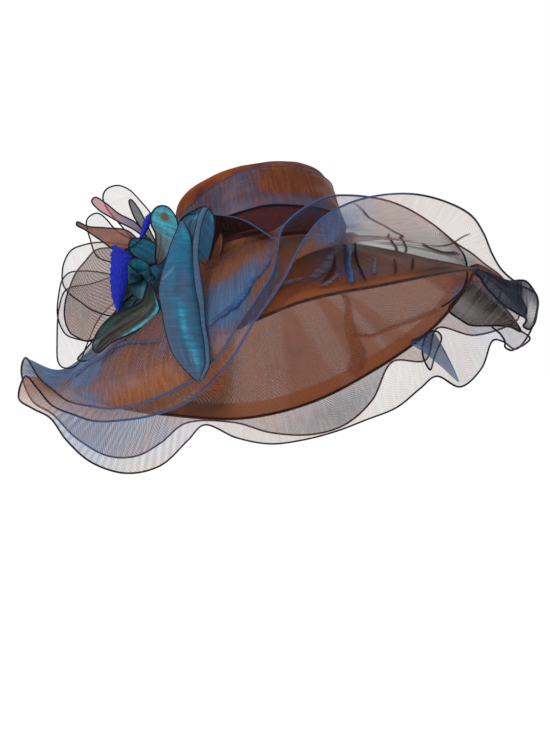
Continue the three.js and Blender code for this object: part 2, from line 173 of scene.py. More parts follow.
def around(rows, column):
    """A smooth function of the turn in degrees that passes through one column and closes on itself."""
    turns, values = points_of(rows, f"turn {column}").T
    turns = np.concatenate([turns[-2:] - 360, turns, turns[:3] + 360])
    values = np.concatenate([values[-2:], values, values[:3]])
    slopes = (values[2:] - values[:-2]) / (turns[2:] - turns[:-2])

    def at(turn):
        turn = (np.asarray(turn, float) - turns[2]) % 360 + turns[2]
        i = np.searchsorted(turns, turn, side="right") - 1
        width = turns[i + 1] - turns[i]
        ends = (values[i], slopes[i - 1] * width, values[i + 1], slopes[i] * width)
        return hermite(*ends, (turn - turns[i]) / width)

    return at


def half_turns(turn):
    """The same turn in degrees, from -180 to 180."""
    return (turn + 180) % 360 - 180


def unit(vectors):
    """The same directions with a length of 1."""
    return vectors / np.maximum(np.linalg.norm(vectors, axis=-1, keepdims=True), 1e-9)


def points_of(rows, columns):
    """The points that these columns of a table hold."""
    return np.array([[row[column] for column in columns.split()] for row in rows], float)


def smooth_step(low, high, value):
    share = np.clip((value - low) / (high - low), 0, 1)
    return share**2 * (3 - 2 * share)


def window(value, start, full, fading, end):
    """0 outside start and end, 1 from full to fading and smooth between them."""
    return smooth_step(start, full, value) * smooth_step(end, fading, value)


def bow(share):
    """0 at both ends of a share and 1 in its middle."""
    return np.sin(math.pi * share)


def waves(count, share, start=0):
    return np.sin(2 * math.pi * count * share + start)


def lay(name, at, steps, spans, size, finish, slot, ring=False, worn=False, marks=None):
    """A sheet of cloth: a grid whose point (along, across) goes to at(along, across), in millimetres.

    size is its length and width in metres, for the pattern. marks gives the sheet named values."""
    mesh = bmesh.new()
    uv = mesh.loops.layers.uv.new("cloth")
    bmesh.ops.create_grid(mesh, x_segments=steps, y_segments=spans, size=1, calc_uvs=True)
    along, across = np.array([vertex.co[:2] for vertex in mesh.verts]).T * 0.5 + 0.5
    places = at(along, across) * MM
    if not worn:
        places = places @ TILT.T
    for vertex, place in zip(mesh.verts, places):
        vertex.co = place
    for mark, value in (marks or {}).items():
        layer = mesh.verts.layers.float.new(mark)
        for vertex, amount in zip(mesh.verts, value(along, across)):
            vertex[layer] = amount
    for face in mesh.faces:
        face.smooth = True
        for corner in face.loops:
            corner[uv].uv = (corner[uv].uv.x * size[0], corner[uv].uv.y * size[1])
    if ring:
        bmesh.ops.remove_doubles(mesh, verts=mesh.verts, dist=WELD)
    piece = object_of(name, mesh)
    piece.data.materials.append(finish)
    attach(piece, "root")
    return piece


def tube(name, line, radius, finish, slot, sides=6, closed=False, worn=False, marks=None):
    """A round edge along a line of points in millimetres, of which no section turns against the next."""
    line = np.asarray(line, float)
    if not worn:
        line = line @ TILT.T
    if closed:
        line = np.concatenate([line, line[:1]])
        ways = np.roll(line[:-1], -1, 0) - np.roll(line[:-1], 1, 0)
        ways = np.concatenate([ways, ways[:1]])
    else:
        ways = np.gradient(line, axis=0)
    ways = unit(ways)
    outs = [np.cross(ways[0], (0.3, 0.2, 1.0))]
    for way in ways:
        outs.append(unit(outs[-1] - way * (outs[-1] @ way)))
    outs = np.array(outs[1:])
    ups = np.cross(ways, outs)
    steps = len(line) - 1

    def at(along, across):
        i = np.rint(along * steps).astype(int)
        turn = (2 * math.pi * across)[:, None]
        return line[i] + radius * (np.cos(turn) * outs[i] + np.sin(turn) * ups[i])

    length = np.linalg.norm(np.diff(line, axis=0), axis=1).sum() * MM
    size = (length, 2 * math.pi * radius * MM)
    piece = lay(name, at, steps, sides, size, finish, slot, worn=True, marks=marks)
    mesh = bmesh.new()
    mesh.from_mesh(piece.data)
    bmesh.ops.remove_doubles(mesh, verts=mesh.verts, dist=WELD)
    if not closed:
        ends = [edge for edge in mesh.edges if edge.is_boundary]
        bmesh.ops.holes_fill(mesh, edges=ends, sides=sides)
    bmesh.ops.recalc_face_normals(mesh, faces=mesh.faces)
    mesh.to_mesh(piece.data)
    mesh.free()
    return piece


def edge_of(at, count, across=1):
    """A line of this many points along a sheet, at this share across it."""
    return at(np.linspace(0, 1, count), np.full(count, float(across)))


def even(value):
    """A mark that is the same all over a sheet."""
    return lambda along, across: np.full_like(along, value)


def spot_mark(spots, mark):
    """The sum of soft spots, each with its place and size along and across the sheet."""

    def at(along, across):
        total = np.zeros_like(along)
        for spot in spots:
            away = ((along - spot["along"]) / spot["long"]) ** 2
            away = away + ((across - spot["across"]) / spot["wide"]) ** 2
            total = total + spot[mark] * np.exp(-away)
        return total

    return at


class Wire:
    """A socket of a material's nodes, so that shader maths reads as plain sums."""

    def __init__(self, tree, socket=None):
        self.tree = tree
        self.socket = socket

    def node(self, kind, values=None, output=0, **settings):
        made = self.tree.nodes.new("ShaderNode" + kind)
        for name, value in settings.items():
            setattr(made, name, value)
        for name, value in (values or {}).items():
            if isinstance(value, Wire):
                self.tree.links.new(value.socket, made.inputs[name])
            else:
                made.inputs[name].default_value = value
        return Wire(self.tree, made.outputs[output])

    def mark(self, name):
        return self.node("Attribute", output=2, attribute_name=name)

    def into(self, shader, name):
        self.tree.links.new(self.socket, shader.inputs[name])

    def sum(self, operation, *values):
        return self.node("Math", dict(enumerate(values)), operation=operation)

    def __add__(self, other):
        return self.sum("ADD", self, other)

    def __sub__(self, other):
        return self.sum("SUBTRACT", self, other)

    def __mul__(self, other):
        return self.sum("MULTIPLY", self, other)

    __radd__ = __add__

    def step(self, low, high):
        """0 below low, 1 above high and smooth between them."""
        values = {0: self, 1: low, 2: high, 3: 0.0, 4: 1.0}
        return self.node("MapRange", values, interpolation_type="SMOOTHSTEP")

    def mix(self, color, other):
        """The color where this is 0 and the other where it is 1."""
        colors = [c if isinstance(c, Wire) else (*c, 1) for c in (color, other)]
        return self.node("Mix", {0: self, 6: colors[0], 7: colors[1]}, output=2, data_type="RGBA")


def finish_of(name, roughness, gloss):
    """A new material and its main shader's node."""
    material = bpy.data.materials.new(name)
    material.use_nodes = True
    shader = material.node_tree.nodes["Principled BSDF"]
    shader.inputs["Roughness"].default_value = roughness
    shader.inputs["Specular IOR Level"].default_value = gloss
    return material, shader


def mottled(name, noise, edges, dark, light, roughness, gloss, cool=0.0, stretch=None):
    """A plain finish that turns from dark to light where its noise and the sheet's cool pass these edges."""
    material, shader = finish_of(name, roughness, gloss)
    wires = Wire(material.node_tree)
    if stretch:
        uv = wires.node("UVMap", uv_map="cloth")
        noise = {**noise, "Vector": wires.node("Mapping", {"Vector": uv, "Scale": stretch})}
    amount = wires.node("TexNoise", noise)
    if cool:
        amount = amount + wires.mark("cool") * cool
    amount.step(*edges).mix(dark, light).into(shader, "Base Color")
    return material


def organza(
    name, warm, cool, cover, moire=0.0, streaks=0.0, grain=0.1, mottle=18.0, crease=0.3, roughness=0.45,
    gloss=0.2, blocked=False
):
    """Shot organza: thin shiny threads of one colour across threads of another, which show in patches.

    cover is how much of what lies behind it one layer hides, mottle how fine its patches are. The sheet's own
    values cool, dense and the highlight mark bring out the cool threads, hide more and paint a cyan
    highlight.
    The ruffles also use cool for painted sheen, and the crown and brim use it for painted light and shade.
    The colour is darkened where the threads and pulls of the relief are low, a painted shade in its hollows.
    A blocked sheet is stretched over a form, so its pattern runs through space and doesn't gather at its top."""
    material, shader = finish_of(name, roughness, gloss)
    wires = Wire(material.node_tree)
    uv = wires.node("TexCoord", output=3) if blocked else wires.node("UVMap", uv_map="cloth")
    along_threads = (1.0, 1.0, 0.12) if blocked else (1.0, 0.12, 1.0)
    cool_mark, dense_mark, painted_highlight_mark = [wires.mark(mark) for mark in MARKS]
    stretch = wires.node("Mapping", {"Vector": uv, "Scale": along_threads})
    patches = wires.node("TexNoise", {"Vector": uv, "Scale": mottle, "Detail": 5.0, "Distortion": 0.6})
    pulls = wires.node("TexNoise", {"Vector": stretch, "Scale": 260.0, "Detail": 4.0})
    threads = wires.node("TexNoise", {"Vector": uv, "Scale": 900.0, "Detail": 2.0})
    rings = wires.node(
        "TexWave", {"Vector": uv, "Scale": 190.0, "Distortion": 42.0, "Detail": 1.0, "Detail Scale": 0.08},
        output=1, wave_type="BANDS", bands_direction="DIAGONAL",
    )
    shot = ((patches - 0.5) * 1.8 + cool_mark).step(-0.35, 0.75)
    # Painted highlight: where the highlight mark is high, broken up by the threads and pulls, the colour
    # turns to a bright cyan.
    painted_shine = (painted_highlight_mark + painted_highlight_mark * (threads + pulls - 1.0) * 1.6).step(0.0, 1.0)
    shade = painted_shine.mix(shot.mix(warm, cool), (0.05, 0.5, 0.65))
    # Painted shade: the colour darkens towards a third of the warm colour where the threads and pulls of the
    # relief are low.
    painted_relief_shade = threads.step(0.35, 0.7) * 0.55 + pulls.step(0.35, 0.7) * (1.5 * crease)
    (painted_relief_shade * 0.7 + 0.3).mix([0.3 * c for c in warm], shade).into(shader, "Base Color")
    woven = (threads - 0.5) * grain + (pulls - 0.5) * streaks + (rings - 0.5) * moire
    wires.node("Clamp", {0: cover + woven + dense_mark, 1: 0.0, 2: 1.0}).into(shader, "Alpha")
    relief = {"Strength": crease, "Distance": 0.0006, "Height": pulls + threads * 0.4}
    wires.node("Bump", relief).into(shader, "Normal")
    return material


def worn_sheet(name, at, steps, spans, size, spots, finish, slot):
    """A sheet that is laid as worn, with its spots."""
    marks = {mark: spot_mark(spots, mark) for mark in MARKS}
    return lay(name, at, steps, spans, size, finish, slot, worn=True, marks=marks)


def worn_edge(name, at, count, radius, finish, slot):
    """The rolled or wired edge of such a sheet, from root to tip along one side and back along the other."""
    rim = np.concatenate([edge_of(at, count, 0), edge_of(at, count)[-2::-1]])
    return tube(name, rim, radius, finish, slot, worn=True)


def leaf(outline, along, across):
    """A point between the two halves of a flat leaf's outline, and the leaf's width there."""
    left = spline(outline, 0.5 * along, closed=True)
    right = spline(outline, 1 - 0.5 * along, closed=True)
    return left + (right - left) * across[:, None], np.linalg.norm(right - left, axis=1)


floor_finish, floor_shader = finish_of("pale_floor", 1, 0)
floor_shader.inputs["Base Color"].default_value = (0.3, 0.3, 0.3, 1)
floor_shader.inputs["Emission Color"].default_value = (1, 1, 1, 1)
floor_shader.inputs["Emission Strength"].default_value = FLOOR_GLOW
floor.data.materials.append(floor_finish)


# Crown: an oval dome of brown organza over a stiff base, open below. It is blocked in one piece, and its
# threads show as a fine mottling.
CROWN_DEEP = 1.05
CROWN_SHIFT = 7
CROWN_HEIGHT = 114
CROWN_LINE = table("radius rise", [
    (105, 0), (101.5, 30), (96.5, 60), (92.5, 84), (86, 98), (72, 107), (45, 112), (0, 114),
])
CROWN_WALL = 1.2
crown_line = points_of(CROWN_LINE, "radius rise")


def crown_point(turn, along, out=0.0):
    """A point on the crown's outer side, from its foot at 0 to its top at 1, or that far out from it."""
    fine = 1e-4
    middle = spline(crown_line, along)
    way = spline(crown_line, np.clip(along + fine, 0, 1)) - spline(crown_line, np.clip(along - fine, 0, 1))
    way = unit(way)
    radius = np.maximum(middle[..., 0] + out * way[..., 1], 0)
    rise = middle[..., 1] - out * way[..., 0]
    angle = np.radians(turn)
    shift = CROWN_SHIFT * rise / CROWN_HEIGHT
    return np.stack([radius * np.sin(angle) + shift, -radius * CROWN_DEEP * np.cos(angle), rise], -1)


crown_shares = np.linspace(0, 1, 2001)
crown_rises = spline(crown_line, crown_shares)[:, 1]


def crown_along(rise):
    return np.interp(rise, crown_rises, crown_shares)


def crown_cloth(along, across):
    turn = 360 * along
    dent = 1.2 * np.sin(np.radians(3 * turn + 40)) * bow(across)
    dent = dent + 0.5 * np.sin(np.radians(11 * turn)) * across
    return crown_point(turn, across, -0.6 - np.abs(dent) * 0.6)


def crown_painted_light(along, across):
    """Painted light and shade: brighter brown at the upper left, which faces the key light, and painted shade
    under the band in front and along the top at the right.
    """
    turn = half_turns(360 * along)
    left = np.cos(np.radians(turn + 60))
    painted_shade_under_band = smooth_step(0.48, 0.3, across) * window(turn, -60, -20, 30, 60)
    painted_shade_on_top = smooth_step(0.56, 0.74, across) * smooth_step(-50, 0, turn)
    return 0.22 - 1.0 * np.clip(left, 0, 1) * smooth_step(0.45, 0.7, across) + 0.9 * painted_shade_under_band + 0.8 * painted_shade_on_top


crown_finish = organza(
    "brown_crown_organza", (0.36, 0.082, 0.022), (0.016, 0.014, 0.032), 1.0, mottle=38.0, crease=0.15,
    roughness=0.8, gloss=0.05, blocked=True
)
crown = lay("crown_cloth", crown_cloth, 144, 60, (0.64, 0.19), crown_finish, "crown_organza", ring=True,
            marks={"cool": crown_painted_light})
wall = crown.modifiers.new("wall", "SOLIDIFY")
wall.thickness = CROWN_WALL * MM
wall.offset = -1
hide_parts("crown")


# Band: a wrap of sheer blue and brown organza. It is pulled round the wall of the crown in slack folds, with
# a rolled edge above and below.
BAND_EDGES = table("turn low high", [
    (-130, 30, 66), (-90, 40, 68), (-45, 46, 75), (-15, 44, 89), (10, 46, 93), (30, 42, 91), (60, 38, 84),
    (110, 30, 78), (180, 26, 72),
])
band_low = around(BAND_EDGES, "low")
band_high = around(BAND_EDGES, "high")


def band_cloth(along, across):
    turn = 360 * along
    rise = band_low(turn) + (band_high(turn) - band_low(turn)) * across
    pull = 0.8 * np.sin(np.radians(5 * turn) + 9 * across) + 0.5 * np.sin(np.radians(9 * turn) - 14 * across)
    return crown_point(turn, crown_along(rise), 1.5 + 0.6 * pull * bow(across))


def band_cool(along, across):
    turn = half_turns(360 * along)
    brown = window(turn, 0, 20, 60, 110) * smooth_step(0.2, 0.45, across)
    return 0.5 - 0.95 * brown


def band_dense(along, across):
    turn = half_turns(360 * along)
    side = window(np.abs(turn), 50, 75, 110, 130)
    front = smooth_step(0, 30, turn) * (1 - side) * smooth_step(0.4, 0.7, across)
    return 0.35 * smooth_step(0.35, 0.0, across) - 0.12 * front + 0.3 * side


band_finish = organza(
    "band_organza", (0.25, 0.066, 0.02), (0.08, 0.085, 0.16), 0.76, streaks=0.4, grain=0.6, mottle=60.0
)
band = lay("band_cloth", band_cloth, 288, 24, (0.63, 0.046), band_finish, "band_organza", ring=True,
           marks={"cool": band_cool, "dense": band_dense})
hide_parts("crown_band")

HEM_RADIUS = 1.2
BAND_HEM_RADIUS = 0.7
hem_finish = mottled("navy_hem", {"Scale": 60.0, "Detail": 2.0}, (0.45, 1.0), (0.004, 0.005, 0.013),
                     (0.04, 0.07, 0.17), 0.45, 0.12, cool=0.5)
for edge_name, share in (("band_edge_low", 0), ("band_edge_high", 1)):
    edge_line = edge_of(band_cloth, 241, share)[:-1]
    tube(edge_name, edge_line, BAND_HEM_RADIUS, hem_finish, "band_organza", closed=True,
         marks={"cool": even(0.7)})

# Brim: one wide ring of stiff brown organza, cut on the round and pulled over a wire at its rim. Its inner
# edge is sewn to the foot of the crown.
SEAM_GAP = 0.4
RIM_REACH = 236
BINDING_RADIUS = 1.8
RIM_DROP = table("turn drop", [
    (-165, 113), (-141, 99), (-115, 89), (-92, 90), (-70, 106), (-48, 122), (-26, 127), (-8, 115), (8, 103),
    (30, 96), (52, 82), (72, 66), (90, 49), (108, 53), (128, 71), (151, 91), (174, 110),
])
BRIM_START = CROWN_LINE[0]["radius"] + SEAM_GAP
rim_drop = around(RIM_DROP, "drop")


def brim_start(turn):
    angle = np.radians(turn)
    return np.stack([BRIM_START * np.sin(angle), -BRIM_START * CROWN_DEEP * np.cos(angle), 0 * angle], -1)


def brim_rise(turn, reach):
    """Height of the brim, which steepens towards the rim and goes on past it."""
    ease = 0.72
    start = np.linalg.norm(brim_start(turn), axis=-1)
    share = np.maximum(0, (reach - start) / (RIM_REACH - start))
    return -rim_drop(turn) * share * (ease + (1 - ease) * share)


def brim_cloth(along, across):
    turn = 360 * along
    rim = polar(turn, RIM_REACH + BINDING_RADIUS, 0)
    point = brim_start(turn) * (1 - across)[:, None] + rim * across[:, None]
    ripple = 0.7 * np.sin(np.radians(13 * turn)) * bow(across)
    point[:, 2] = brim_rise(turn, np.hypot(point[:, 0], point[:, 1])) + ripple
    return point


BRIM_FOLDS = table("turn width dense", [
    (75, 5, 0.5), (96, 9, 0.7), (140, 4, 0.6), (152, 6, 0.7), (172, 8, 0.5), (215, 16, 0.8), (250, 20, 0.8),
])


def brim_dense(along, across):
    """The rim is turned in over the wire, and pleats make the cloth double in places."""
    turn = 360 * along
    front = np.cos(np.radians(turn))
    total = smooth_step(0.88, 0.9, across) + smooth_step(0.3, 0.7, front)
    for fold in BRIM_FOLDS:
        width = fold["width"] * (0.4 + across)
        total = total + fold["dense"] * smooth_step(width, 0.6 * width, np.abs(turn - fold["turn"]))
    right = window(turn, 32, 50, 90, 100)
    return 0.17 * np.minimum(total, 1.5) + 0.2 * right


def brim_painted_shade(along, across):
    """Painted shade: the brim is darker on the side turned away at the left, and behind the crown at the
    right, where the crown shades it from the key light.
    """
    turn = 360 * along
    away = window(turn, 192, 206, 250, 285)
    return -0.3 + 0.9 * away + 0.75 * window(turn, 32, 56, 84, 96)


brim_finish = organza("brown_brim_organza", (0.32, 0.095, 0.036), (0.045, 0.016, 0.011), 0.77, moire=0.14,
                      crease=0.05, roughness=0.65, gloss=0.08)
brim = lay("brim_cloth", brim_cloth, 288, 60, (1.2, 0.13), brim_finish, "brim_organza", ring=True,
           marks={"dense": brim_dense, "cool": brim_painted_shade})
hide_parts("brim")

rim_turns = np.linspace(0, 360, 361)[:-1]
rim_reach = RIM_REACH + BINDING_RADIUS + SEAM_GAP
rim_line = polar(rim_turns, rim_reach, brim_rise(rim_turns, rim_reach))
binding_finish = mottled("bound_edge", {"Scale": 80.0, "Detail": 3.0}, (0.35, 0.7), (0.014, 0.006, 0.005),
                         (0.06, 0.018, 0.01), 0.6, 0.15)
binding = tube("rim_binding", rim_line, BINDING_RADIUS, binding_finish, "bound_edge", sides=10, closed=True)
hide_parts("brim_binding")

# Ruffles: two rings of organza, gathered and sewn to the wall of the crown, each with a rolled edge. They
# lie over the brim where they hang below its rim or curl up beyond it, and stand clear of it at the right.
UPPER_FOLDS = table("turn reach rise", [
    (-164, 264, -114), (-152, 285, -102), (-146, 302, -120), (-139, 306, -134), (-132, 314, -131),
    (-124, 319, -108), (-115, 312, -83), (-106, 311, -72), (-97, 302, -48), (-91, 288, -40), (-86, 275, -72),
    (-80, 262, -97), (-70, 256, -122), (-58, 254, -143), (-46, 256, -162), (-34, 256, -169), (-23, 255, -163),
    (-15, 254, -147), (-9, 251, -120), (-3, 246, -94), (2, 230, -68), (5, 212, -40), (8, 208, -15),
    (14, 214, 0), (22, 221, 9), (29, 217, 11), (38, 224, 4), (48, 223, -4), (58, 227, -20), (70, 231, -36),
    (80, 238, -40), (90, 250, -44), (98, 276, -60), (106, 298, -90), (113, 304, -94), (122, 276, -92),
    (130, 254, -70), (139, 265, -98), (148, 254, -88), (157, 257, -126), (166, 254, -147), (176, 260, -148),
    (187, 264, -134),
])
LOWER_FOLDS = table("turn reach rise", [
    (-163, 256, -135), (-155, 262, -112), (-150, 270, -128), (-142, 280, -154), (-132, 289, -160),
    (-124, 303, -143), (-117, 306, -117), (-110, 302, -93), (-104, 308, -84), (-98, 312, -76),
    (-92, 293, -60), (-87, 279, -84), (-81, 267, -112), (-70, 251, -139), (-57, 250, -162), (-45, 249, -176),
    (-35, 248, -183), (-25, 247, -181), (-17, 247, -166), (-11, 246, -146), (-5, 246, -119), (0, 246, -99),
    (5, 240, -76), (9, 241, -53), (12, 246, -39), (16, 253, -25), (22, 259, -14), (30, 264, -8),
    (40, 267, -7), (50, 269, -13), (60, 270, -23), (69, 265, -35), (78, 262, -51), (86, 268, -63),
    (92, 285, -75), (97, 308, -87), (102, 300, -118), (107, 286, -133), (112, 283, -116), (117, 283, -108),
    (122, 276, -134), (128, 261, -148), (134, 252, -126), (141, 254, -132), (149, 248, -146),
    (159, 246, -150), (169, 247, -154), (179, 252, -154), (188, 255, -150),
])
RUFFLES = {
    "upper": {"over": 13, "outside": 10, "sag": 0.0, "folds": UPPER_FOLDS},
    "lower": {"over": 6, "outside": 7, "sag": 0.5, "folds": LOWER_FOLDS},
}
GATHERS = {"upper": 74, "lower": 63}
GATHER_DEPTH = 1.5
CLOTH = 1.2
FREE_SHARE = 0.75
CREST_LIFT = 4
CURL_FROM = -112
CURL_TO = -82
CURL_SAG = 0.55


def ruffle_lines(over, outside, sag, folds):
    """The seam, crest, shoulder and free edge of a ruffle, each a row of points, one for each fold."""
    turn, reach, rise = points_of(folds, "turn reach rise").T
    height = lambda at: brim_rise(turn, at) + over
    hang = brim_rise(turn, np.minimum(reach, RIM_REACH)) - rise
    curls = (turn > CURL_FROM) & (turn < CURL_TO)
    hanging = np.where(curls, 1, smooth_step(-20, 10, hang))
    seam = crown_point(turn, crown_along(np.full(len(turn), float(over))), CLOTH / 2 + SEAM_GAP)
    start = np.hypot(seam[:, 0], seam[:, 1])
    free_reach = start + (reach - start) * FREE_SHARE
    rim = np.minimum(RIM_REACH + 2 * BINDING_RADIUS + outside, reach - 1)
    shoulder = free_reach + (rim - free_reach) * hanging
    chord = seam[:, 2] + (rise - seam[:, 2]) * (shoulder - start) / (reach - start)
    free = chord + (height(shoulder) - chord) * np.where(curls, CURL_SAG, sag)
    shoulder_rise = np.maximum(free, height(shoulder))
    crest = (start + shoulder) / 2
    crest_rise = np.maximum((seam[:, 2] + shoulder_rise) / 2, height(crest) + CREST_LIFT)
    middle = [polar(turn, crest, crest_rise), polar(turn, shoulder, shoulder_rise)]
    return [seam, *middle, polar(turn, reach, rise)]


def ruffle_cloth(layer, gather_depth):
    """at(along, across) of a ruffle, with its gathers: deep at the seam and fading to the free edge."""
    lines = ruffle_lines(**RUFFLES[layer])

    def at(along, across):
        section = np.stack([spline(line, along % 1, closed=True) for line in lines])
        point = spline(section, across)
        fine = 2e-3
        ahead = spline(np.stack([spline(line, (along + fine) % 1, closed=True) for line in lines]), across)
        outer = spline(section, np.clip(across + fine, 0, 1)) - spline(section, np.clip(across - fine, 0, 1))
        normal = unit(np.cross(ahead - point, outer))
        wander = 1.6 * waves(7, along, 3) + 1.1 * waves(12, along)
        deep = 0.6 + 0.4 * waves(5, along, 1)
        gather = waves(GATHERS[layer], along, wander + 0.8 * across) * deep
        fade = bow(np.clip(across, 0, 1)) ** 0.7 * (1 - 0.75 * across)
        return point + normal * (gather_depth * gather * fade)[:, None]

    return at


# Where a ruffle shows its blue threads as a painted sheen along its ridges and folds, or its brown ones below
# 0, and where folds behind it make it denser. The turn and the share from seam to edge are the middle of each
# patch.
PATCHES = {
    "upper": table("turn across wide tall cool dense", [
        (-94, 0.75, 12, 0.3, 1.5, 0.6), (-66, 0.6, 14, 0.09, 1.2, 0.3),
        (-62, 0.85, 10, 0.14, 0.7, 0.3), (-40, 0.8, 18, 0.16, 0.0, 0.34),
        (-34, 0.92, 16, 0.12, -0.4, 0.15), (-44, 0.72, 16, 0.1, 0.35, 0.05),
        (-11, 0.5, 10, 0.12, 1.5, 0.4), (-14, 0.2, 16, 0.18, -0.8, -0.15),
        (-16, 0.8, 14, 0.2, 0.2, 0.22), (18, 0.55, 7, 0.45, 1.2, 0.15), (34, 0.3, 7, 0.12, 1.4, 0.25),
        (48, 0.16, 12, 0.1, 0.6, 0.3), (70, 0.6, 26, 0.5, 0.0, 0.1), (112, 0.1, 26, 0.12, 0.3, -0.26),
        (-130, 0.7, 20, 0.4, 0.5, 0.06), (98, 0.85, 9, 0.3, 0.7, 0.25), (166, 0.85, 16, 0.25, 1.2, 0.2),
    ]),
    "lower": table("turn across wide tall cool dense", [
        (-93, 0.85, 9, 0.25, -0.6, 0.35), (-45, 0.82, 28, 0.16, -0.4, 0.22), (-2, 0.6, 8, 0.3, 0.9, 0.12),
        (21, 0.85, 7, 0.14, 1.3, 0.22), (27, 0.5, 6, 0.2, 0.6, 0.05), (13, 0.6, 4, 0.22, -0.9, 0.1),
        (-118, 0.85, 9, 0.3, 1.2, 0.14), (-134, 0.75, 10, 0.3, 0.6, -0.04),
        (-148, 0.85, 9, 0.3, 0.1, -0.02), (64, 0.75, 26, 0.35, -0.2, -0.09),
        (112, 0.1, 26, 0.12, 0.3, -0.22), (113, 0.8, 8, 0.4, 1.2, 0.0),
        (150, 0.8, 20, 0.4, -0.5, -0.12),
    ]),
}


def fold_turns(layer):
    """The turns of a ruffle's folds, once round."""
    turns = [fold["turn"] for fold in RUFFLES[layer]["folds"]]
    return np.array(turns + [turns[0] + 360], float)


def turn_at(along, layer):
    turns = fold_turns(layer)
    return np.interp((along % 1) * (len(turns) - 1), np.arange(len(turns)), turns)


def along_at(turn, layer):
    turns = fold_turns(layer)
    turn = (np.asarray(turn, float) - turns[0]) % 360 + turns[0]
    return np.interp(turn, turns, np.arange(len(turns))) / (len(turns) - 1)


def patch_mark(layer, mark, rest):
    """The sum of a ruffle's patches over what it has elsewhere."""

    def at(along, across):
        turn = turn_at(along, layer)
        total = np.full_like(turn, rest)
        for patch in PATCHES[layer]:
            away = (half_turns(turn - patch["turn"]) / patch["wide"]) ** 2
            away = away + ((across - patch["across"]) / patch["tall"]) ** 2
            total = total + patch[mark] * np.exp(-away)
        if mark == "dense":
            right = window(turn, 35, 60, 110, 140)
            lobe = window(turn, -155, -145, -112, -100) * smooth_step(0.35, 0.8, across)
            pressed = waves(210, along, 4 * waves(11, along))
            seam = smooth_step(0.14, 0.0, across) * (1 - 0.8 * right)
            total = total + 0.5 * seam + lobe * (0.06 + 0.09 * pressed)
        return total

    return at


ruffle_finish = {
    "upper": organza("upper_ruffle_organza", (0.35, 0.13, 0.06), (0.045, 0.2, 0.42), 0.46, moire=0.32,
                     streaks=0.35, grain=0.3, gloss=0.1),
    "lower": organza("lower_ruffle_organza", (0.4, 0.17, 0.09), (0.08, 0.2, 0.44), 0.4, moire=0.12,
                     streaks=0.3, grain=0.25, gloss=0.1),
}
RUFFLE_STEPS = 900


def hem_cool(layer):
    """The rolled edge looks bluer in front, over the brown of the brim and crown."""

    def at(along, across):
        return window(half_turns(turn_at(along, layer)), -80, -40, 30, 50)

    return at


for layer in RUFFLES:
    cloth_at = ruffle_cloth(layer, GATHER_DEPTH)
    marks = {"cool": patch_mark(layer, "cool", -0.1), "dense": patch_mark(layer, "dense", 0.0)}
    sheet = lay(f"ruffle_{layer}_cloth", cloth_at, RUFFLE_STEPS, 44, (1.9, 0.19), ruffle_finish[layer],
                "ruffle_organza", ring=True, marks=marks)
    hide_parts(f"ruffle_{layer}")
    hem_line = edge_of(cloth_at, RUFFLE_STEPS + 1)[:-1]
    hem = tube(f"ruffle_{layer}_hem", hem_line, HEM_RADIUS, hem_finish, "ruffle_organza", closed=True,
               marks={"cool": hem_cool(layer)})


def fade_out(along, across):
    """A fold is dense along its middle and thins out to its sides and ends."""
    return -smooth_step(0.3, 1.0, np.abs(2 * across - 1)) - 0.9 * np.abs(2 * along - 1) ** 9


def pleat(name, cloth_at, rows, finish, slot, lift):
    """A strip along a fold of another cloth, whose finish gives the fold's own layers, painted sheen or
    painted shade: rows of its place along and across that cloth, and its width.
    """
    line = np.array(rows, float) * (360, 100, 1)

    def on_cloth(share):
        return cloth_at(*(spline(line[:, :2], share) / (360, 100)).T)

    def at(along, across):
        fine = 4e-3
        place = spline(line[:, :2], along) / (360, 100)
        point = cloth_at(*place.T)
        round_way = cloth_at(place[:, 0] + fine, place[:, 1]) - point
        out_way = cloth_at(place[:, 0], place[:, 1] + fine) - point
        normal = unit(np.cross(out_way, round_way))
        way = on_cloth(np.clip(along + fine, 0, 1)) - on_cloth(np.clip(along - fine, 0, 1))
        side = unit(np.cross(way, normal))
        wide = np.interp(along * (len(line) - 1), np.arange(len(line)), line[:, 2])
        rise = lift * (0.5 + bow(across))
        return point + side * ((across - 0.5) * wide)[:, None] + normal * rise[:, None]

    lay(name, at, 80, 12, (0.02 * len(rows), 0.006), finish, slot, marks={"dense": fade_out})


def on_ruffle(layer, rows):
    """The rows of turn, share from seam to edge and width, with the turn as a share round the ruffle."""
    turns, across, wide = np.array(rows, float).T
    return np.stack([along_at(turns, layer), across, wide], 1)


# Tip fold: at the viewer's right the upper ruffle's edge turns back round the tip of the brim before it is
# caught up. It is the same organza, with the same rolled edge.
TIP_LINE = table("x y z", [
    (202, -22, 48), (209, -28, 41), (221, -22, 30), (230, -28, 17), (234, -22, -3), (229, -28, -20),
    (214, -22, -35), (204, -28, -41),
])
TIP_WIDTH = 20


def tip_cloth(along, across):
    line = points_of(TIP_LINE, "x y z")
    inner = line - (TIP_WIDTH, 0, 0) * bow(np.linspace(0, 1, len(line)))[:, None]
    edge = spline(line, along)
    return edge + (spline(inner, along) - edge) * across[:, None]


lay("tip_fold_cloth", tip_cloth, 80, 10, (0.1, 0.02), ruffle_finish["upper"], "ruffle_organza", worn=True,
    marks={"dense": lambda along, across: 0.1 - 0.5 * across, "cool": even(0.4)})
tube("tip_fold_hem", edge_of(tip_cloth, 90, 0), HEM_RADIUS, hem_finish, "ruffle_organza", worn=True)

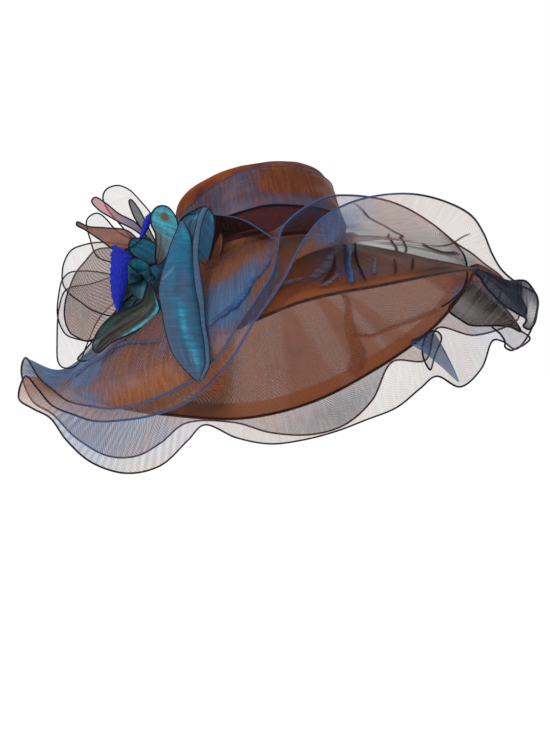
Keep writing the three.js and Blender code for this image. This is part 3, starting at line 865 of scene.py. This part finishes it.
# Pressed folds: lines and wedges that lie on a ruffle along its folds, as strips over it. Of their finishes,
# blue and pale paint the sheen of ridges, dark and shaded ones paint the shade in creases where the organza
# lies in several layers, and brown is like the brim's own organza. Each has rows of turn, share from seam to
# edge and width.
fold_finish = {
    "blue": organza("blue_sheen_fold_organza", (0.03, 0.07, 0.2), (0.04, 0.17, 0.46), 0.95, streaks=0.9, grain=0.5,
                    mottle=60.0),
    "dark": organza("dark_shade_fold_organza", (0.02, 0.014, 0.012), (0.01, 0.01, 0.018), 0.95, streaks=0.3,
                    grain=0.2, gloss=0.04),
    "shade": organza("shaded_fold_organza", (0.06, 0.018, 0.01), (0.02, 0.014, 0.024), 0.8, streaks=0.5,
                     roughness=0.7, gloss=0.03),
    "brown": organza("brown_fold_organza", (0.3, 0.07, 0.018), (0.22, 0.05, 0.014), 0.8, crease=0.06),
    "pale": organza("pale_sheen_fold_organza", (0.15, 0.09, 0.085), (0.16, 0.21, 0.38), 0.62, streaks=0.9,
                    grain=0.7, mottle=60.0),
}
RUFFLE_PLEATS = {
    "front_ridge": ("upper", "blue", [(-77, 0.9, 3), (-72, 0.61, 7), (-64.5, 0.565, 8), (-54.5, 0.544, 6),
        (-46, 0.519, 5), (-34.5, 0.557, 4), (-30, 0.57, 3)]),
    "kink_fold": ("upper", "blue", [(4.1, 0.696, 4), (2.4, 0.671, 12), (0, 0.68, 12), (-4.1, 0.63, 10),
        (-8.1, 0.544, 12), (-12, 0.557, 12), (-17.5, 0.595, 8)]),
    "back_line": ("upper", "dark", [(33.8, 0.684, 3), (40.2, 0.57, 5), (50.3, 0.443, 6), (58.1, 0.443, 5),
        (65.3, 0.443, 6), (69.6, 0.456, 8), (79.8, 0.38, 7), (92.8, 0.304, 5), (103.6, 0.304, 5),
        (110.4, 0.342, 5)]),
    "back_line_small": ("upper", "dark", [(68.2, 0.367, 4), (91.6, 0.241, 6), (109.7, 0.278, 6)]),
    "right_wedge": ("upper", "dark", [(86, 0.455, 8), (91, 0.43, 15), (94, 0.47, 22), (91.5, 0.56, 22),
        (86.7, 0.633, 14)]),
    "foot_shade": ("lower", "shade", [(19, 0.68, 8), (24, 0.58, 26), (29, 0.47, 34), (35, 0.36, 30),
        (42, 0.26, 10)]),
    "right_fold": ("lower", "dark", [(67.5, 0.899, 4), (66.5, 0.823, 5), (66.8, 0.734, 6),
        (70.5, 0.481, 8)]),
}
RUFFLE_PLEAT_LIFT = 2.2
for fold, (layer, finish, rows) in RUFFLE_PLEATS.items():
    smooth_cloth = ruffle_cloth(layer, 0)
    shares = on_ruffle(layer, rows)
    pleat(fold, smooth_cloth, shares, fold_finish[finish], "ruffle_organza", RUFFLE_PLEAT_LIFT)

# Brim pleats: creases that were pressed into the brim's organza, and strips of painted shade and painted
# sheen for the folds above it. Each has its finish, its height over the brim and rows of turn, share from
# crown to rim and width.
BRIM_PLEATS = {
    "front_streak": ("blue", 3.4, [(48, 0.1, 8), (36, 0.42, 14), (27, 0.69, 10), (24, 0.85, 9),
        (21.5, 0.97, 7)]),
    "front_line": ("dark", 3.4, [(50, 0.22, 3), (36, 0.51, 4), (30, 0.715, 4), (27, 0.885, 4),
        (26, 0.97, 3)]),
    "front_sheen": ("pale", 3, [(33.8, 0.36, 6), (25.8, 0.52, 18), (20, 0.66, 24), (15.8, 0.75, 20),
        (12, 0.82, 10)]),
    "front_sheen_low": ("pale", 3, [(1, 0.8, 5), (3, 0.79, 11), (6.8, 0.78, 15), (11, 0.78, 8)]),
    "front_pale": ("pale", 3, [(12.5, 0.92, 6), (15.8, 0.9, 12), (19, 0.85, 9), (21, 0.8, 5)]),
    "front_pale_right": ("pale", 3, [(38, 0.67, 5), (33, 0.8, 10), (29.8, 0.9, 7)]),
    "front_crease": ("shade", 3, [(28, 0.48, 3), (26, 0.54, 5), (19.8, 0.76, 8), (13.8, 0.91, 6)]),
    "right_crease": ("shade", 3, [(44, 0.72, 3), (39, 0.86, 5), (35.8, 0.94, 4)]),
    "right_crease_small": ("shade", 3, [(53, 0.73, 3), (47, 0.84, 5), (42, 0.93, 3)]),
    "under_band": ("brown", -1.5, [(139, 0.18, 5), (142, 0.34, 11), (148, 0.5, 16), (152, 0.68, 22),
        (154, 0.84, 28), (160, 0.95, 40)]),
    "under_line": ("brown", -1.5, [(152, 0.62, 9), (146, 0.74, 8), (137, 0.78, 9), (127, 0.86, 12),
        (120, 0.93, 14)]),
    "under_tip": ("brown", -1.5, [(98, 0.3, 5), (101, 0.55, 30), (104, 0.8, 60), (106, 0.99, 80)]),
    "under_back": ("brown", -1.5, [(200, 0.35, 14), (205, 0.6, 60), (208, 0.85, 110)]),
}
for fold, (finish, lift, rows) in BRIM_PLEATS.items():
    shares = np.array(rows, float) / (360, 1, 1)
    pleat(fold, brim_cloth, shares, fold_finish[finish], "brim_organza", lift)

# Loose fold: a single layer of the ruffles' organza, which lies rumpled on the brim in front, at the right,
# and reaches from the crown's foot to the rim.
VEIL = {"from": -4, "to": 66, "inner": 0.04, "outer": 0.98, "lift": 2.4, "rumple": 0.8}
# Spots on the loose fold: the blue ones paint the sheen of its blue threads, the brown ones below 0 show its
# brown threads, and dense ones hide more.
VEIL_SPOTS = table("along across long wide cool dense", [
    (0.16, 0.52, 0.13, 0.2, -1.2, -0.25), (0.52, 0.22, 0.2, 0.22, 0.7, 0.25),
    (0.36, 0.75, 0.16, 0.25, 0.4, 0.15), (0.72, 0.75, 0.14, 0.25, -0.9, 0.1),
    (0.1, 0.95, 0.25, 0.08, -1.0, -0.2),
])


def veil_cloth(along, across):
    turn = VEIL["from"] + (VEIL["to"] - VEIL["from"]) * along
    point = brim_cloth(turn / 360, VEIL["inner"] + (VEIL["outer"] - VEIL["inner"]) * across)
    rumple = np.sin(9 * along + 7 * across) + 0.6 * np.sin(21 * along - 11 * across + 1)
    point[:, 2] += VEIL["lift"] + VEIL["rumple"] * rumple
    return point


def veil_dense(along, across):
    side = np.maximum(np.abs(2 * along - 1) ** 3, np.abs(2 * across - 1) ** 8)
    return spot_mark(VEIL_SPOTS, "dense")(along, across) - 0.8 * side


veil_finish = organza("loose_fold_organza", (0.19, 0.055, 0.025), (0.05, 0.075, 0.16), 0.62, streaks=0.5,
                      grain=0.5, mottle=22.0, gloss=0.1)
lay("loose_fold_cloth", veil_cloth, 160, 70, (0.28, 0.12), veil_finish, "ruffle_organza",
    marks={"cool": spot_mark(VEIL_SPOTS, "cool"), "dense": veil_dense})

# Frill: a short strip of the same organza, gathered and sewn to the front of the crown beside the flower. It
# stands up against the crown, and its free edge is rolled.
FRILL_FOOT_RISE = 20
FRILL_HEM_RADIUS = 0.8
FRILL_GATHERS = 13
FRILL_EDGE = table("turn reach rise", [
    (-34, 119, 52), (-20, 129, 43), (-5, 141, 25), (3, 160, 0), (6, 178, -16),
])
frill_turn, frill_reach, frill_rise = points_of(FRILL_EDGE, "turn reach rise").T
frill_edge = polar(frill_turn, frill_reach, frill_rise)
frill_foot = crown_point(frill_turn, crown_along(np.full(len(FRILL_EDGE), float(FRILL_FOOT_RISE))), CLOTH)


def frill_cloth(along, across):
    foot = spline(frill_foot, along)
    edge = spline(frill_edge, along)
    gather = 1.2 * waves(FRILL_GATHERS, along) * bow(across)
    point = foot + (edge - foot) * across[:, None]
    point[:, 2] += gather
    return point


frill_finish = organza("frill_organza", (0.06, 0.028, 0.02), (0.02, 0.028, 0.06), 0.55, streaks=0.8,
                       grain=0.4)
frill = lay("frill_cloth", frill_cloth, 120, 20, (0.11, 0.05), frill_finish, "ruffle_organza",
            marks={"dense": even(0.35)})
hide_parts("crown_frill")
frill_hem = tube("frill_hem", edge_of(frill_cloth, 80), FRILL_HEM_RADIUS, hem_finish, "ruffle_organza",
                 marks={"cool": even(1)})

# Flower: loops and leaves of organza, each wired round its edge and gathered on a short knot at the side
# of the crown. They spread from it as shallow bowls, one behind the other.
KNOT_FRONT = np.array((-123, -120, -12.0))
KNOT_FOOT = np.array((-87.1, -64.6, 24.9))
KNOT_RADIUS = 9
FLOWER_AWAY = unit(np.array((0.3, 0.93, 0.2)))
BOWL_SLOPE = 0.15
BOWL_WAVE_HEIGHT = 3
BOWL_WAVE_LENGTH = 150
PETAL_WIRE = 0.9
PETAL_CUP = 0.07


def on_bowl(back, x, z, forward=0.0):
    """The point at x and z on the bowl that is gathered this far back along the knot."""
    root = KNOT_FRONT + (KNOT_FOOT - KNOT_FRONT) * back
    flat = np.stack([x, np.full_like(x, root[1]), z], -1)
    flat[:, 1] -= ((flat - root) @ FLOWER_AWAY) / FLOWER_AWAY[1]
    distance = np.linalg.norm(flat - root, axis=1)
    wave = BOWL_WAVE_HEIGHT * waves(1 / BOWL_WAVE_LENGTH, distance)
    flat[:, 1] -= (BOWL_SLOPE * distance + wave + forward) / FLOWER_AWAY[1]
    return flat


# Each petal or leaf is gathered this far back along the knot, and its outline is points at x and z.
PETALS = {
    "top_petal": (0.5, "pale_petal", [(-136, 26), (-161, 52), (-173, 67), (-177, 78), (-173, 87),
        (-160, 91), (-147, 86), (-136, 75), (-123, 59), (-114, 36)]),
    "pink_petal": (0.38, "pink_petal", [(-135, 37), (-161, 52), (-182, 65), (-189, 74), (-185, 78),
        (-174, 72), (-159, 60), (-137, 47)]),
    "upper_petal": (0.62, "pale_petal", [(-159, 7), (-185, 14), (-193, 33), (-197, 53), (-193, 59),
        (-184, 62), (-176, 57), (-161, 41)]),
    "brown_petal": (0.26, "brown_petal", [(-155, 14), (-181, 32), (-196, 42), (-206, 48), (-205, 51),
        (-193, 46), (-173, 44), (-146, 39)]),
    "left_petal": (0.68, "pale_petal", [(-160, 28), (-186, 30), (-203, 27), (-215, 22), (-223, 10),
        (-226, -3), (-225, -17), (-218, -27), (-206, -36), (-191, -46), (-165, -52), (-140, -40)]),
    "net_petal": (0.79, "net_petal", [(-165, 24), (-188, 22), (-200, 10), (-211, -3), (-219, -21),
        (-224, -38), (-224, -57), (-218, -71), (-210, -76), (-200, -80), (-176, -70), (-150, -45)]),
    "low_petal": (0.84, "pale_petal", [(-160, -6), (-188, -2), (-205, -1), (-219, -3), (-227, -11),
        (-231, -26), (-233, -50), (-229, -64), (-223, -73), (-210, -78), (-193, -80), (-165, -60)]),
    "tail_petal": (0.89, "pale_petal", [(-193, -15), (-223, -22), (-231, -41), (-234, -80), (-233, -104),
        (-228, -110), (-216, -110), (-208, -104), (-200, -85), (-182, -50)]),
    "grey_petal": (0.44, "grey_petal", [(-135, 45), (-143, 59), (-147, 74), (-145, 75), (-138, 67),
        (-131, 55)]),
    "green_leaf": (0.1, "green_leaf", [(-131, -38), (-153, -49), (-165, -57), (-175, -68), (-181, -80),
        (-182, -91), (-177, -94), (-160, -82), (-144, -75), (-127, -65), (-111, -49), (-113, -38)]),
    "blue_leaf": (0.32, "blue_leaf", [(-160, -45), (-171, -57), (-179, -68), (-188, -79), (-198, -91),
        (-206, -101), (-199, -103), (-187, -98), (-180, -91), (-172, -77)]),
    "teal_fold": (0.2, "teal", [(-137, 10), (-146, 18), (-147, 25), (-144, 31), (-137, 32), (-123, 29),
        (-108, 16)]),
    "teal_loop": (0.14, "loop", [(-117, 36), (-121, 45), (-121, 57), (-114, 65), (-104, 65), (-96, 57),
        (-92, 47), (-92, 34), (-102, 14)]),
    "teal_back": (0.56, "teal", [(-92, 32), (-91, 51), (-78, 61), (-62, 66), (-54, 57), (-52, 45),
        (-54, 28), (-61, 5), (-70, -6)]),
    "brown_leaf": (0.74, "brown_petal", [(-68, -10), (-57, 12), (-50, 31), (-45, 37), (-43, 24),
        (-53, 0)]),
}
# How far a leaf bends forward, in front of the petals that it crosses.
FORWARD = {"green_leaf": 74, "blue_leaf": 12, "brown_leaf": 22}


def petal_outline(back, points):
    root = KNOT_FRONT + (KNOT_FOOT - KNOT_FRONT) * back
    start = root[[0, 2]] + unit(np.mean(points, axis=0) - root[[0, 2]]) * (KNOT_RADIUS + 1)
    return np.array([start, *points], float)


def petal_cloth(back, points, forward):
    outline = petal_outline(back, points)
    root = outline[0]
    far = np.linalg.norm(outline - root, axis=1).max()

    def at(along, across):
        flat, width = leaf(outline, along, across)
        distance = np.linalg.norm(flat - root, axis=1) / far
        cup = PETAL_CUP * width * (1 - (2 * across - 1) ** 2) * bow(np.clip(along, 0, 1))
        ripple = 0.5 * np.sin(20 * across + 9 * along) * bow(across)
        lift = forward * np.sqrt(np.clip(distance, 0, 1)) - cup + ripple
        return on_bowl(back, flat[:, 0], flat[:, 1], lift)

    return at


# The warm and cool colours of each cloth of the flower and the bunch, its cover and what sets it apart.
PETAL_LOOKS = {
    "pale_petal": ((0.42, 0.27, 0.22), (0.25, 0.28, 0.44), 0.24, {"moire": 0.03, "streaks": 0.35}),
    "net_petal": ((0.33, 0.12, 0.07), (0.04, 0.025, 0.02), 0.66, {"moire": 0.3, "crease": 0.1}),
    "pink_petal": ((0.55, 0.11, 0.13), (0.13, 0.14, 0.3), 0.72, {"grain": 0.2}),
    "brown_petal": ((0.32, 0.085, 0.028), (0.05, 0.035, 0.055), 0.92, {"mottle": 90.0}),
    "grey_petal": ((0.05, 0.05, 0.065), (0.04, 0.055, 0.1), 0.82, {"mottle": 60.0}),
    "green_leaf": ((0.035, 0.032, 0.025), (0.012, 0.085, 0.075), 0.95, {"mottle": 130.0}),
    "blue_leaf": ((0.06, 0.12, 0.17), (0.1, 0.22, 0.36), 0.68, {"grain": 0.2}),
    "teal": ((0.05, 0.115, 0.22), (0.008, 0.175, 0.32), 0.96, {"mottle": 100.0, "roughness": 0.36}),
    "loop": ((0.16, 0.11, 0.08), (0.012, 0.18, 0.32), 0.96, {"mottle": 120.0}),
    "heart": ((0.01, 0.06, 0.09), (0.012, 0.19, 0.27), 0.96, {"mottle": 60.0}),
    "panel": ((0.06, 0.034, 0.02), (0.016, 0.014, 0.02), 0.92, {"streaks": 0.5, "mottle": 40.0}),
    "smoke": ((0.02, 0.022, 0.05), (0.004, 0.006, 0.022), 0.93, {"streaks": 0.6, "mottle": 40.0}),
    "blue_point": ((0.03, 0.1, 0.24), (0.02, 0.14, 0.36), 0.8, {"mottle": 40.0}),
    "blue_sheer": ((0.2, 0.2, 0.26), (0.08, 0.18, 0.35), 0.3, {}),
}
PETAL_FINISH = {
    name: organza(f"{name}_organza", warm, cool, cover, **more)
    for name, (warm, cool, cover, more) in PETAL_LOOKS.items()
}
RECORD_SLOT = {row["node"]: row["material_slot"] for row in frame["record"]["subparts"]}
wire_finish = mottled("black_wire", {"Scale": 90.0}, (0.4, 0.7), (0.006, 0.006, 0.010), (0.03, 0.03, 0.045),
                      0.5, 0.12)

# Where a petal has a painted highlight, and where it shows its brown or its blue threads: the middle of each
# spot from root to tip and across.
SPOTS = {
    "teal_loop": table(SPOT, [
        (0.7, 0.5, 0.34, 0.6, 0.8, 0.1, 1.4), (0.66, 0.5, 0.1, 0.2, -2.5, 0.0, -1.9),
    ]),
    "teal_back": table(SPOT, [
        (0.9, 0.6, 0.14, 0.4, 0.6, 0.1, 0.75), (0.3, 0.5, 0.3, 0.6, 0.5, 0.1, 0.0),
    ]),
    "teal_fold": table(SPOT, [(0.5, 0.6, 0.35, 0.6, 0.8, 0.1, 0.0)]),
    "green_leaf": table(SPOT, [
        (0.48, 0.93, 0.17, 0.07, 1.0, 0.2, 1.3), (0.22, 0.93, 0.2, 0.05, 1.0, 0.2, 0.7),
        (0.75, 0.1, 0.25, 0.18, 1.2, -0.2, 0.05), (0.7, 0.7, 0.2, 0.25, -1.0, 0.1, 0.0),
    ]),
    "pink_petal": table(SPOT, [
        (0.95, 0.5, 0.45, 0.8, -0.8, 0.0, 0.0), (0.15, 0.5, 0.35, 0.8, 1.2, 0.2, 0.0),
    ]),
    "blue_leaf": table(SPOT, [(0.8, 0.3, 0.25, 0.3, 1.0, -0.1, 0.1)]),
}


for petal, (back, finish, points) in PETALS.items():
    cloth_at = petal_cloth(back, points, FORWARD.get(petal, 0))
    long = np.ptp(petal_outline(back, points), axis=0).max() * MM
    slot = RECORD_SLOT[petal]
    sheet = worn_sheet(f"{petal}_cloth", cloth_at, 60, 24, (long, 0.5 * long), SPOTS.get(petal, []),
                       PETAL_FINISH[finish], slot)
    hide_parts(petal)
    worn_edge(f"{petal}_wire", cloth_at, 97, PETAL_WIRE, wire_finish, slot)

# Drop: the longest loop of teal organza. It rises from the knot and hangs in front of the ruffles, with the
# inside of the loop and its rolled right edge beside the front.
DROP = {
    "front": table("left right y z", [
        (-89, -85, -159, 48), (-92, -80, -166, 38), (-97, -76, -174, 25), (-102, -74, -185, 7),
        (-107, -71, -198, -12), (-109, -68, -213, -30), (-105, -63, -232, -50), (-100, -60, -254, -72),
        (-93, -56, -272, -92), (-85, -55, -282, -105), (-74, -57, -288, -117), (-66, -62, -291, -124),
    ]),
    "inside": table("left right y z", [
        (-72, -66, -150, 57), (-84, -66, -151, 53), (-88, -67, -153, 47), (-87, -68, -161, 36),
        (-84, -69, -169, 21), (-78, -70, -179, 5),
    ]),
    "edge": table("left right y z", [
        (-65, -58, -154, 63), (-69, -62, -156, 55), (-72, -66, -167, 40), (-74, -67, -176, 27),
        (-74, -68, -187, 10), (-73, -66, -199, -6), (-70, -62, -217, -28), (-66, -60, -233, -45),
        (-63, -58, -254, -66), (-59, -54, -273, -87), (-58, -53, -286, -108), (-64, -60, -292, -123),
    ]),
}
# Spots on the drop: painted highlights in cyan along its middle, and where it shows its brown or its blue
# threads.
DROP_SPOTS = {
    "front": table(SPOT, [
        (0.6, 0.5, 0.11, 0.1, 0.6, 0.0, 0.55), (0.78, 0.66, 0.1, 0.12, 0.6, 0.0, 0.55),
        (0.12, 0.7, 0.07, 0.3, 0.4, 0.0, 0.4), (0.25, 0.5, 0.3, 1.0, 0.5, 0.0, 0.0),
        (0.42, 0.62, 0.08, 0.2, -1.0, 0.0, 0.0), (0.75, 0.05, 0.35, 0.25, -0.7, -0.1, 0.0),
        (0.95, 0.4, 0.14, 0.6, -0.6, -0.15, 0.05),
    ]),
    "inside": table(SPOT, [
        (0.12, 0.5, 0.14, 0.9, 0.8, 0.1, 0.8), (0.75, 0.5, 0.4, 0.9, -1.0, 0.1, 0.0),
    ]),
    "edge": [],
}
DROP_EDGE = organza("teal_edge_organza", (0.08, 0.13, 0.24), (0.03, 0.16, 0.27), 0.94, mottle=60.0)
DROP_HEM_RADIUS = 0.55
DROP_BULGE = {"front": 0.20, "inside": -0.15, "edge": 0.20}
for part, rows in DROP.items():
    drop_left = points_of(rows, "left y z")
    drop_right = points_of(rows, "right y z")

    def drop_cloth(along, across):
        left = spline(drop_left, along)
        right = spline(drop_right, along)
        point = left + (right - left) * across[:, None]
        width = np.linalg.norm(right - left, axis=1)
        bulge = DROP_BULGE[part] * width * bow(across)
        crease = 0.05 * width * np.sin(5 * math.pi * across + 5 * along) * bow(across)
        point[:, 1] -= bulge + crease * smooth_step(0.15, 0.5, along)
        return point

    finish = DROP_EDGE if part == "edge" else PETAL_FINISH["teal"]
    sheet = worn_sheet(f"drop_{part}_cloth", drop_cloth, 140, 30, (0.25, 0.045), DROP_SPOTS[part], finish,
                       "teal_organza")
    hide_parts("teal_drop")
    hem = worn_edge(f"drop_{part}_hem", drop_cloth, 121, DROP_HEM_RADIUS, hem_finish, "teal_organza")

# Knot: the gathered heart of the flower, a strip of teal organza that is rolled up like a bud and sewn to the
# side of the crown, in a cup of the same cloth.
knot_length = np.linalg.norm(KNOT_FOOT - KNOT_FRONT)
knot_way = unit(KNOT_FOOT - KNOT_FRONT)
knot_side = unit(np.cross(knot_way, (0, 0, 1.0)))
knot_up = np.cross(knot_side, knot_way)
KNOT_TURNS = 2.6
KNOT_HEART = 1.6
HEART_WIRE = 0.6
CUP = {"long": 26, "mouth": 21, "foot": 8, "ahead": 12}


def round_knot(ahead, radius, turn):
    """A point this far along the knot from its front and out from its middle."""
    out = np.cos(turn)[:, None] * knot_side + np.sin(turn)[:, None] * knot_up
    return KNOT_FRONT + np.outer(ahead, knot_way) + radius[:, None] * out


def knot_cloth(along, across):
    turn = 2 * math.pi * KNOT_TURNS * across
    radius = KNOT_HEART + (KNOT_RADIUS - KNOT_HEART) * across + 0.4 * np.sin(7 * turn) * along
    lip = 3.0 * bow(np.clip(1 - along, 0, 1) ** 3)
    return round_knot(along * knot_length - lip, radius, turn)


def cup_cloth(along, across):
    """A ruffled cone round the knot, open to the front and cut away at the side of the drop."""
    turn = 2 * math.pi * (0.02 + 0.96 * along) + 0.6
    open_out = 0.55 + 0.45 * np.cos(turn - 3.4)
    radius = CUP["foot"] + (CUP["mouth"] * open_out - CUP["foot"]) * across**1.5
    radius = radius + 1.5 * np.sin(5 * turn) * across
    return round_knot(CUP["long"] * (1 - across) - CUP["ahead"] * across, radius, turn)


# Two small wired petals close the flower round its knot. Each starts this far back and bends this far
# forward, and its outline is points at x and z.
HEART = {
    "heart_back": (0.3, 9, [(-166, 8), (-158, 16), (-142, 24), (-127, 33), (-117, 22), (-113, 0),
        (-112, -24), (-128, -42), (-154, -50), (-165, -33), (-161, -11)]),
    "heart_roll": (0.05, 10, [(-147, 4), (-137, 9), (-125, 3), (-123, -22), (-129, -36), (-139, -33),
        (-147, -20)]),
}
# Spots on the two heart petals: their blue threads, with a painted highlight.
HEART_SPOTS = table(SPOT, [
    (0.45, 0.1, 0.4, 0.2, 1.0, 0.0, 0.2), (0.75, 0.6, 0.12, 0.15, 1.0, 0.0, 0.5),
])
for petal, (back, forward, points) in HEART.items():
    cloth_at = petal_cloth(back, points, forward)
    sheet = worn_sheet(f"{petal}_cloth", cloth_at, 40, 20, (0.05, 0.03), HEART_SPOTS, PETAL_FINISH["heart"],
                       "teal_organza")
    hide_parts("flower_knot")
    worn_edge(f"{petal}_wire", cloth_at, 61, HEART_WIRE, wire_finish, "teal_organza")

# Spots on the knot and its cup: a painted highlight at the knot's front and on the cup's rim, and brown
# threads over the cup's middle.
KNOT_SPOTS = table(SPOT, [(0.0, 0.5, 0.08, 0.9, 0.6, 0.0, 0.45)])
CUP_SPOTS = table(SPOT, [
    (0.45, 1.0, 0.12, 0.12, 0.6, 0.0, 1.1), (0.6, 0.5, 0.6, 0.5, -0.5, 0.0, 0.0),
])
for name, cloth_at, steps, spans, spots in (
    ("knot_cloth", knot_cloth, 40, 120, KNOT_SPOTS),
    ("knot_cup", cup_cloth, 90, 24, CUP_SPOTS),
):
    knot = worn_sheet(name, cloth_at, steps, spans, (0.074, 0.09), spots, PETAL_FINISH["teal"],
                      "teal_organza")
    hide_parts("flower_knot")
tube("knot_cup_wire", edge_of(cup_cloth, 90), HEART_WIRE, wire_finish, "teal_organza", worn=True)

# Feathers: two short royal blue feathers, each a vane of soft barbs that is widest near its top. They are
# fixed at the knot, between the petals.
FEATHERS = {
    "feather_long": (0.32, table("left right z", [
        (-165, -160, 24), (-167, -144, 12), (-167, -143, 5), (-168, -147, -5), (-168, -149, -16),
        (-167, -152, -30), (-164, -155, -41), (-160, -158, -51),
    ])),
    "feather_short": (0.95, table("left right z", [
        (-121, -117, 60), (-127, -118, 56), (-131, -122, 48), (-133, -126, 40), (-136, -134, 30),
    ])),
}
FEATHER_FORWARD = {"feather_long": 16, "feather_short": 52}
feather_finish = mottled("blue_feather", {"Scale": 900.0, "Detail": 3.0}, (0.35, 0.65), (0.003, 0.007, 0.16),
                         (0.008, 0.022, 0.52), 0.6, 0.2, stretch=(0.25, 1.0, 1.0))
for feather, (back, rows) in FEATHERS.items():
    sides = points_of(rows, "left right z")

    def feather_at(along, across):
        left, right, rise = spline(sides, along).T
        ragged = 1.1 * np.sin(70 * along + 3 * across) * (2 * across - 1) * (1 - along)
        away = FEATHER_FORWARD[feather] + 2.5 * bow(across)
        return on_bowl(back, left + (right - left) * across + ragged, rise, away)

    length = np.ptp(sides[:, 2]) * MM
    vane = lay(f"{feather}_vane", feather_at, 110, 24, (length, 0.025), feather_finish, "feather", worn=True)
    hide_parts(feather)

# Bunch: at the viewer's right the two ruffles are caught up in folds over each other, and their rolled edges
# curl back under the brim. Each has its finish, its depth and slope, whether its edge shows rolled, and an
# outline of points at x and z.
BUNCH = {
    "bunch_panel": ("panel", 62, -0.35, True, [(241, -2), (242, 5), (254, -4), (262, -16), (274, -29),
        (282, -38), (294, -53), (302, -68), (291, -63), (278, -61), (262, -61), (244, -60), (234, -54),
        (220, -42), (230, -27)]),
    "bunch_roll": ("smoke", 14, 0.0, True, [(239, 5), (248, 9), (259, 5), (268, -1), (277, -7), (287, -10),
        (297, -9), (305, -10), (313, -19), (319, -32), (318, -46), (315, -59), (309, -66), (302, -62),
        (306, -55), (294, -47), (281, -39), (272, -31), (259, -17), (251, -5), (243, 1)]),
    "bunch_inner": ("smoke", 8, 0.0, False, [(237, 3), (248, 9), (258, 5), (277, -8), (297, -10),
        (291, -16), (298, -27), (306, -44), (302, -51), (292, -39), (278, -23), (263, -9), (248, 0)]),
    "bunch_point": ("pale_petal", 72, -0.4, True, [(270, -61), (284, -60), (293, -63), (304, -68),
        (313, -76), (307, -83), (299, -87), (292, -90), (285, -86), (285, -80), (280, -71)]),
    "curl": ("blue_sheer", 118, -0.57, True, [(200, -68), (206, -66), (212, -67), (216, -73), (215, -80),
        (211, -89), (207, -101), (203, -113), (197, -104), (194, -94), (194, -83), (197, -74)]),
    "curl_fold": ("blue_point", 112, -0.57, False, [(179, -79), (191, -72), (199, -67), (206, -67),
        (220, -94), (236, -128), (216, -110), (195, -92)]),
}
BUNCH_ROOT_X = 239
BUNCH_SPOTS = {
    "bunch_roll": table(SPOT, [(0.84, 0.55, 0.13, 0.32, 1.0, -0.6, 0.0)]),
    "bunch_panel": table(SPOT, [(0.3, 0.75, 0.3, 0.25, -0.2, -0.22, 0.0)]),
}
for fold, (finish, depth, slope, wired, points) in BUNCH.items():
    outline = np.array(points, float)

    def fold_cloth(along, across):
        flat, width = leaf(outline, along, across)
        bulge = 0.25 * width * (1 - (2 * across - 1) ** 2)
        ripple = 0.8 * np.sin(14 * across + 8 * along) * bow(across)
        y = depth + slope * (flat[:, 0] - BUNCH_ROOT_X) - bulge + ripple
        return np.stack([flat[:, 0], y, flat[:, 1]], -1)

    worn_sheet(f"{fold}_cloth", fold_cloth, 60, 16, (0.12, 0.03), BUNCH_SPOTS.get(fold, []),
               PETAL_FINISH[finish], "ruffle_organza")
    if wired:
        worn_edge(f"{fold}_hem", fold_cloth, 97, HEM_RADIUS, hem_finish, "ruffle_organza")
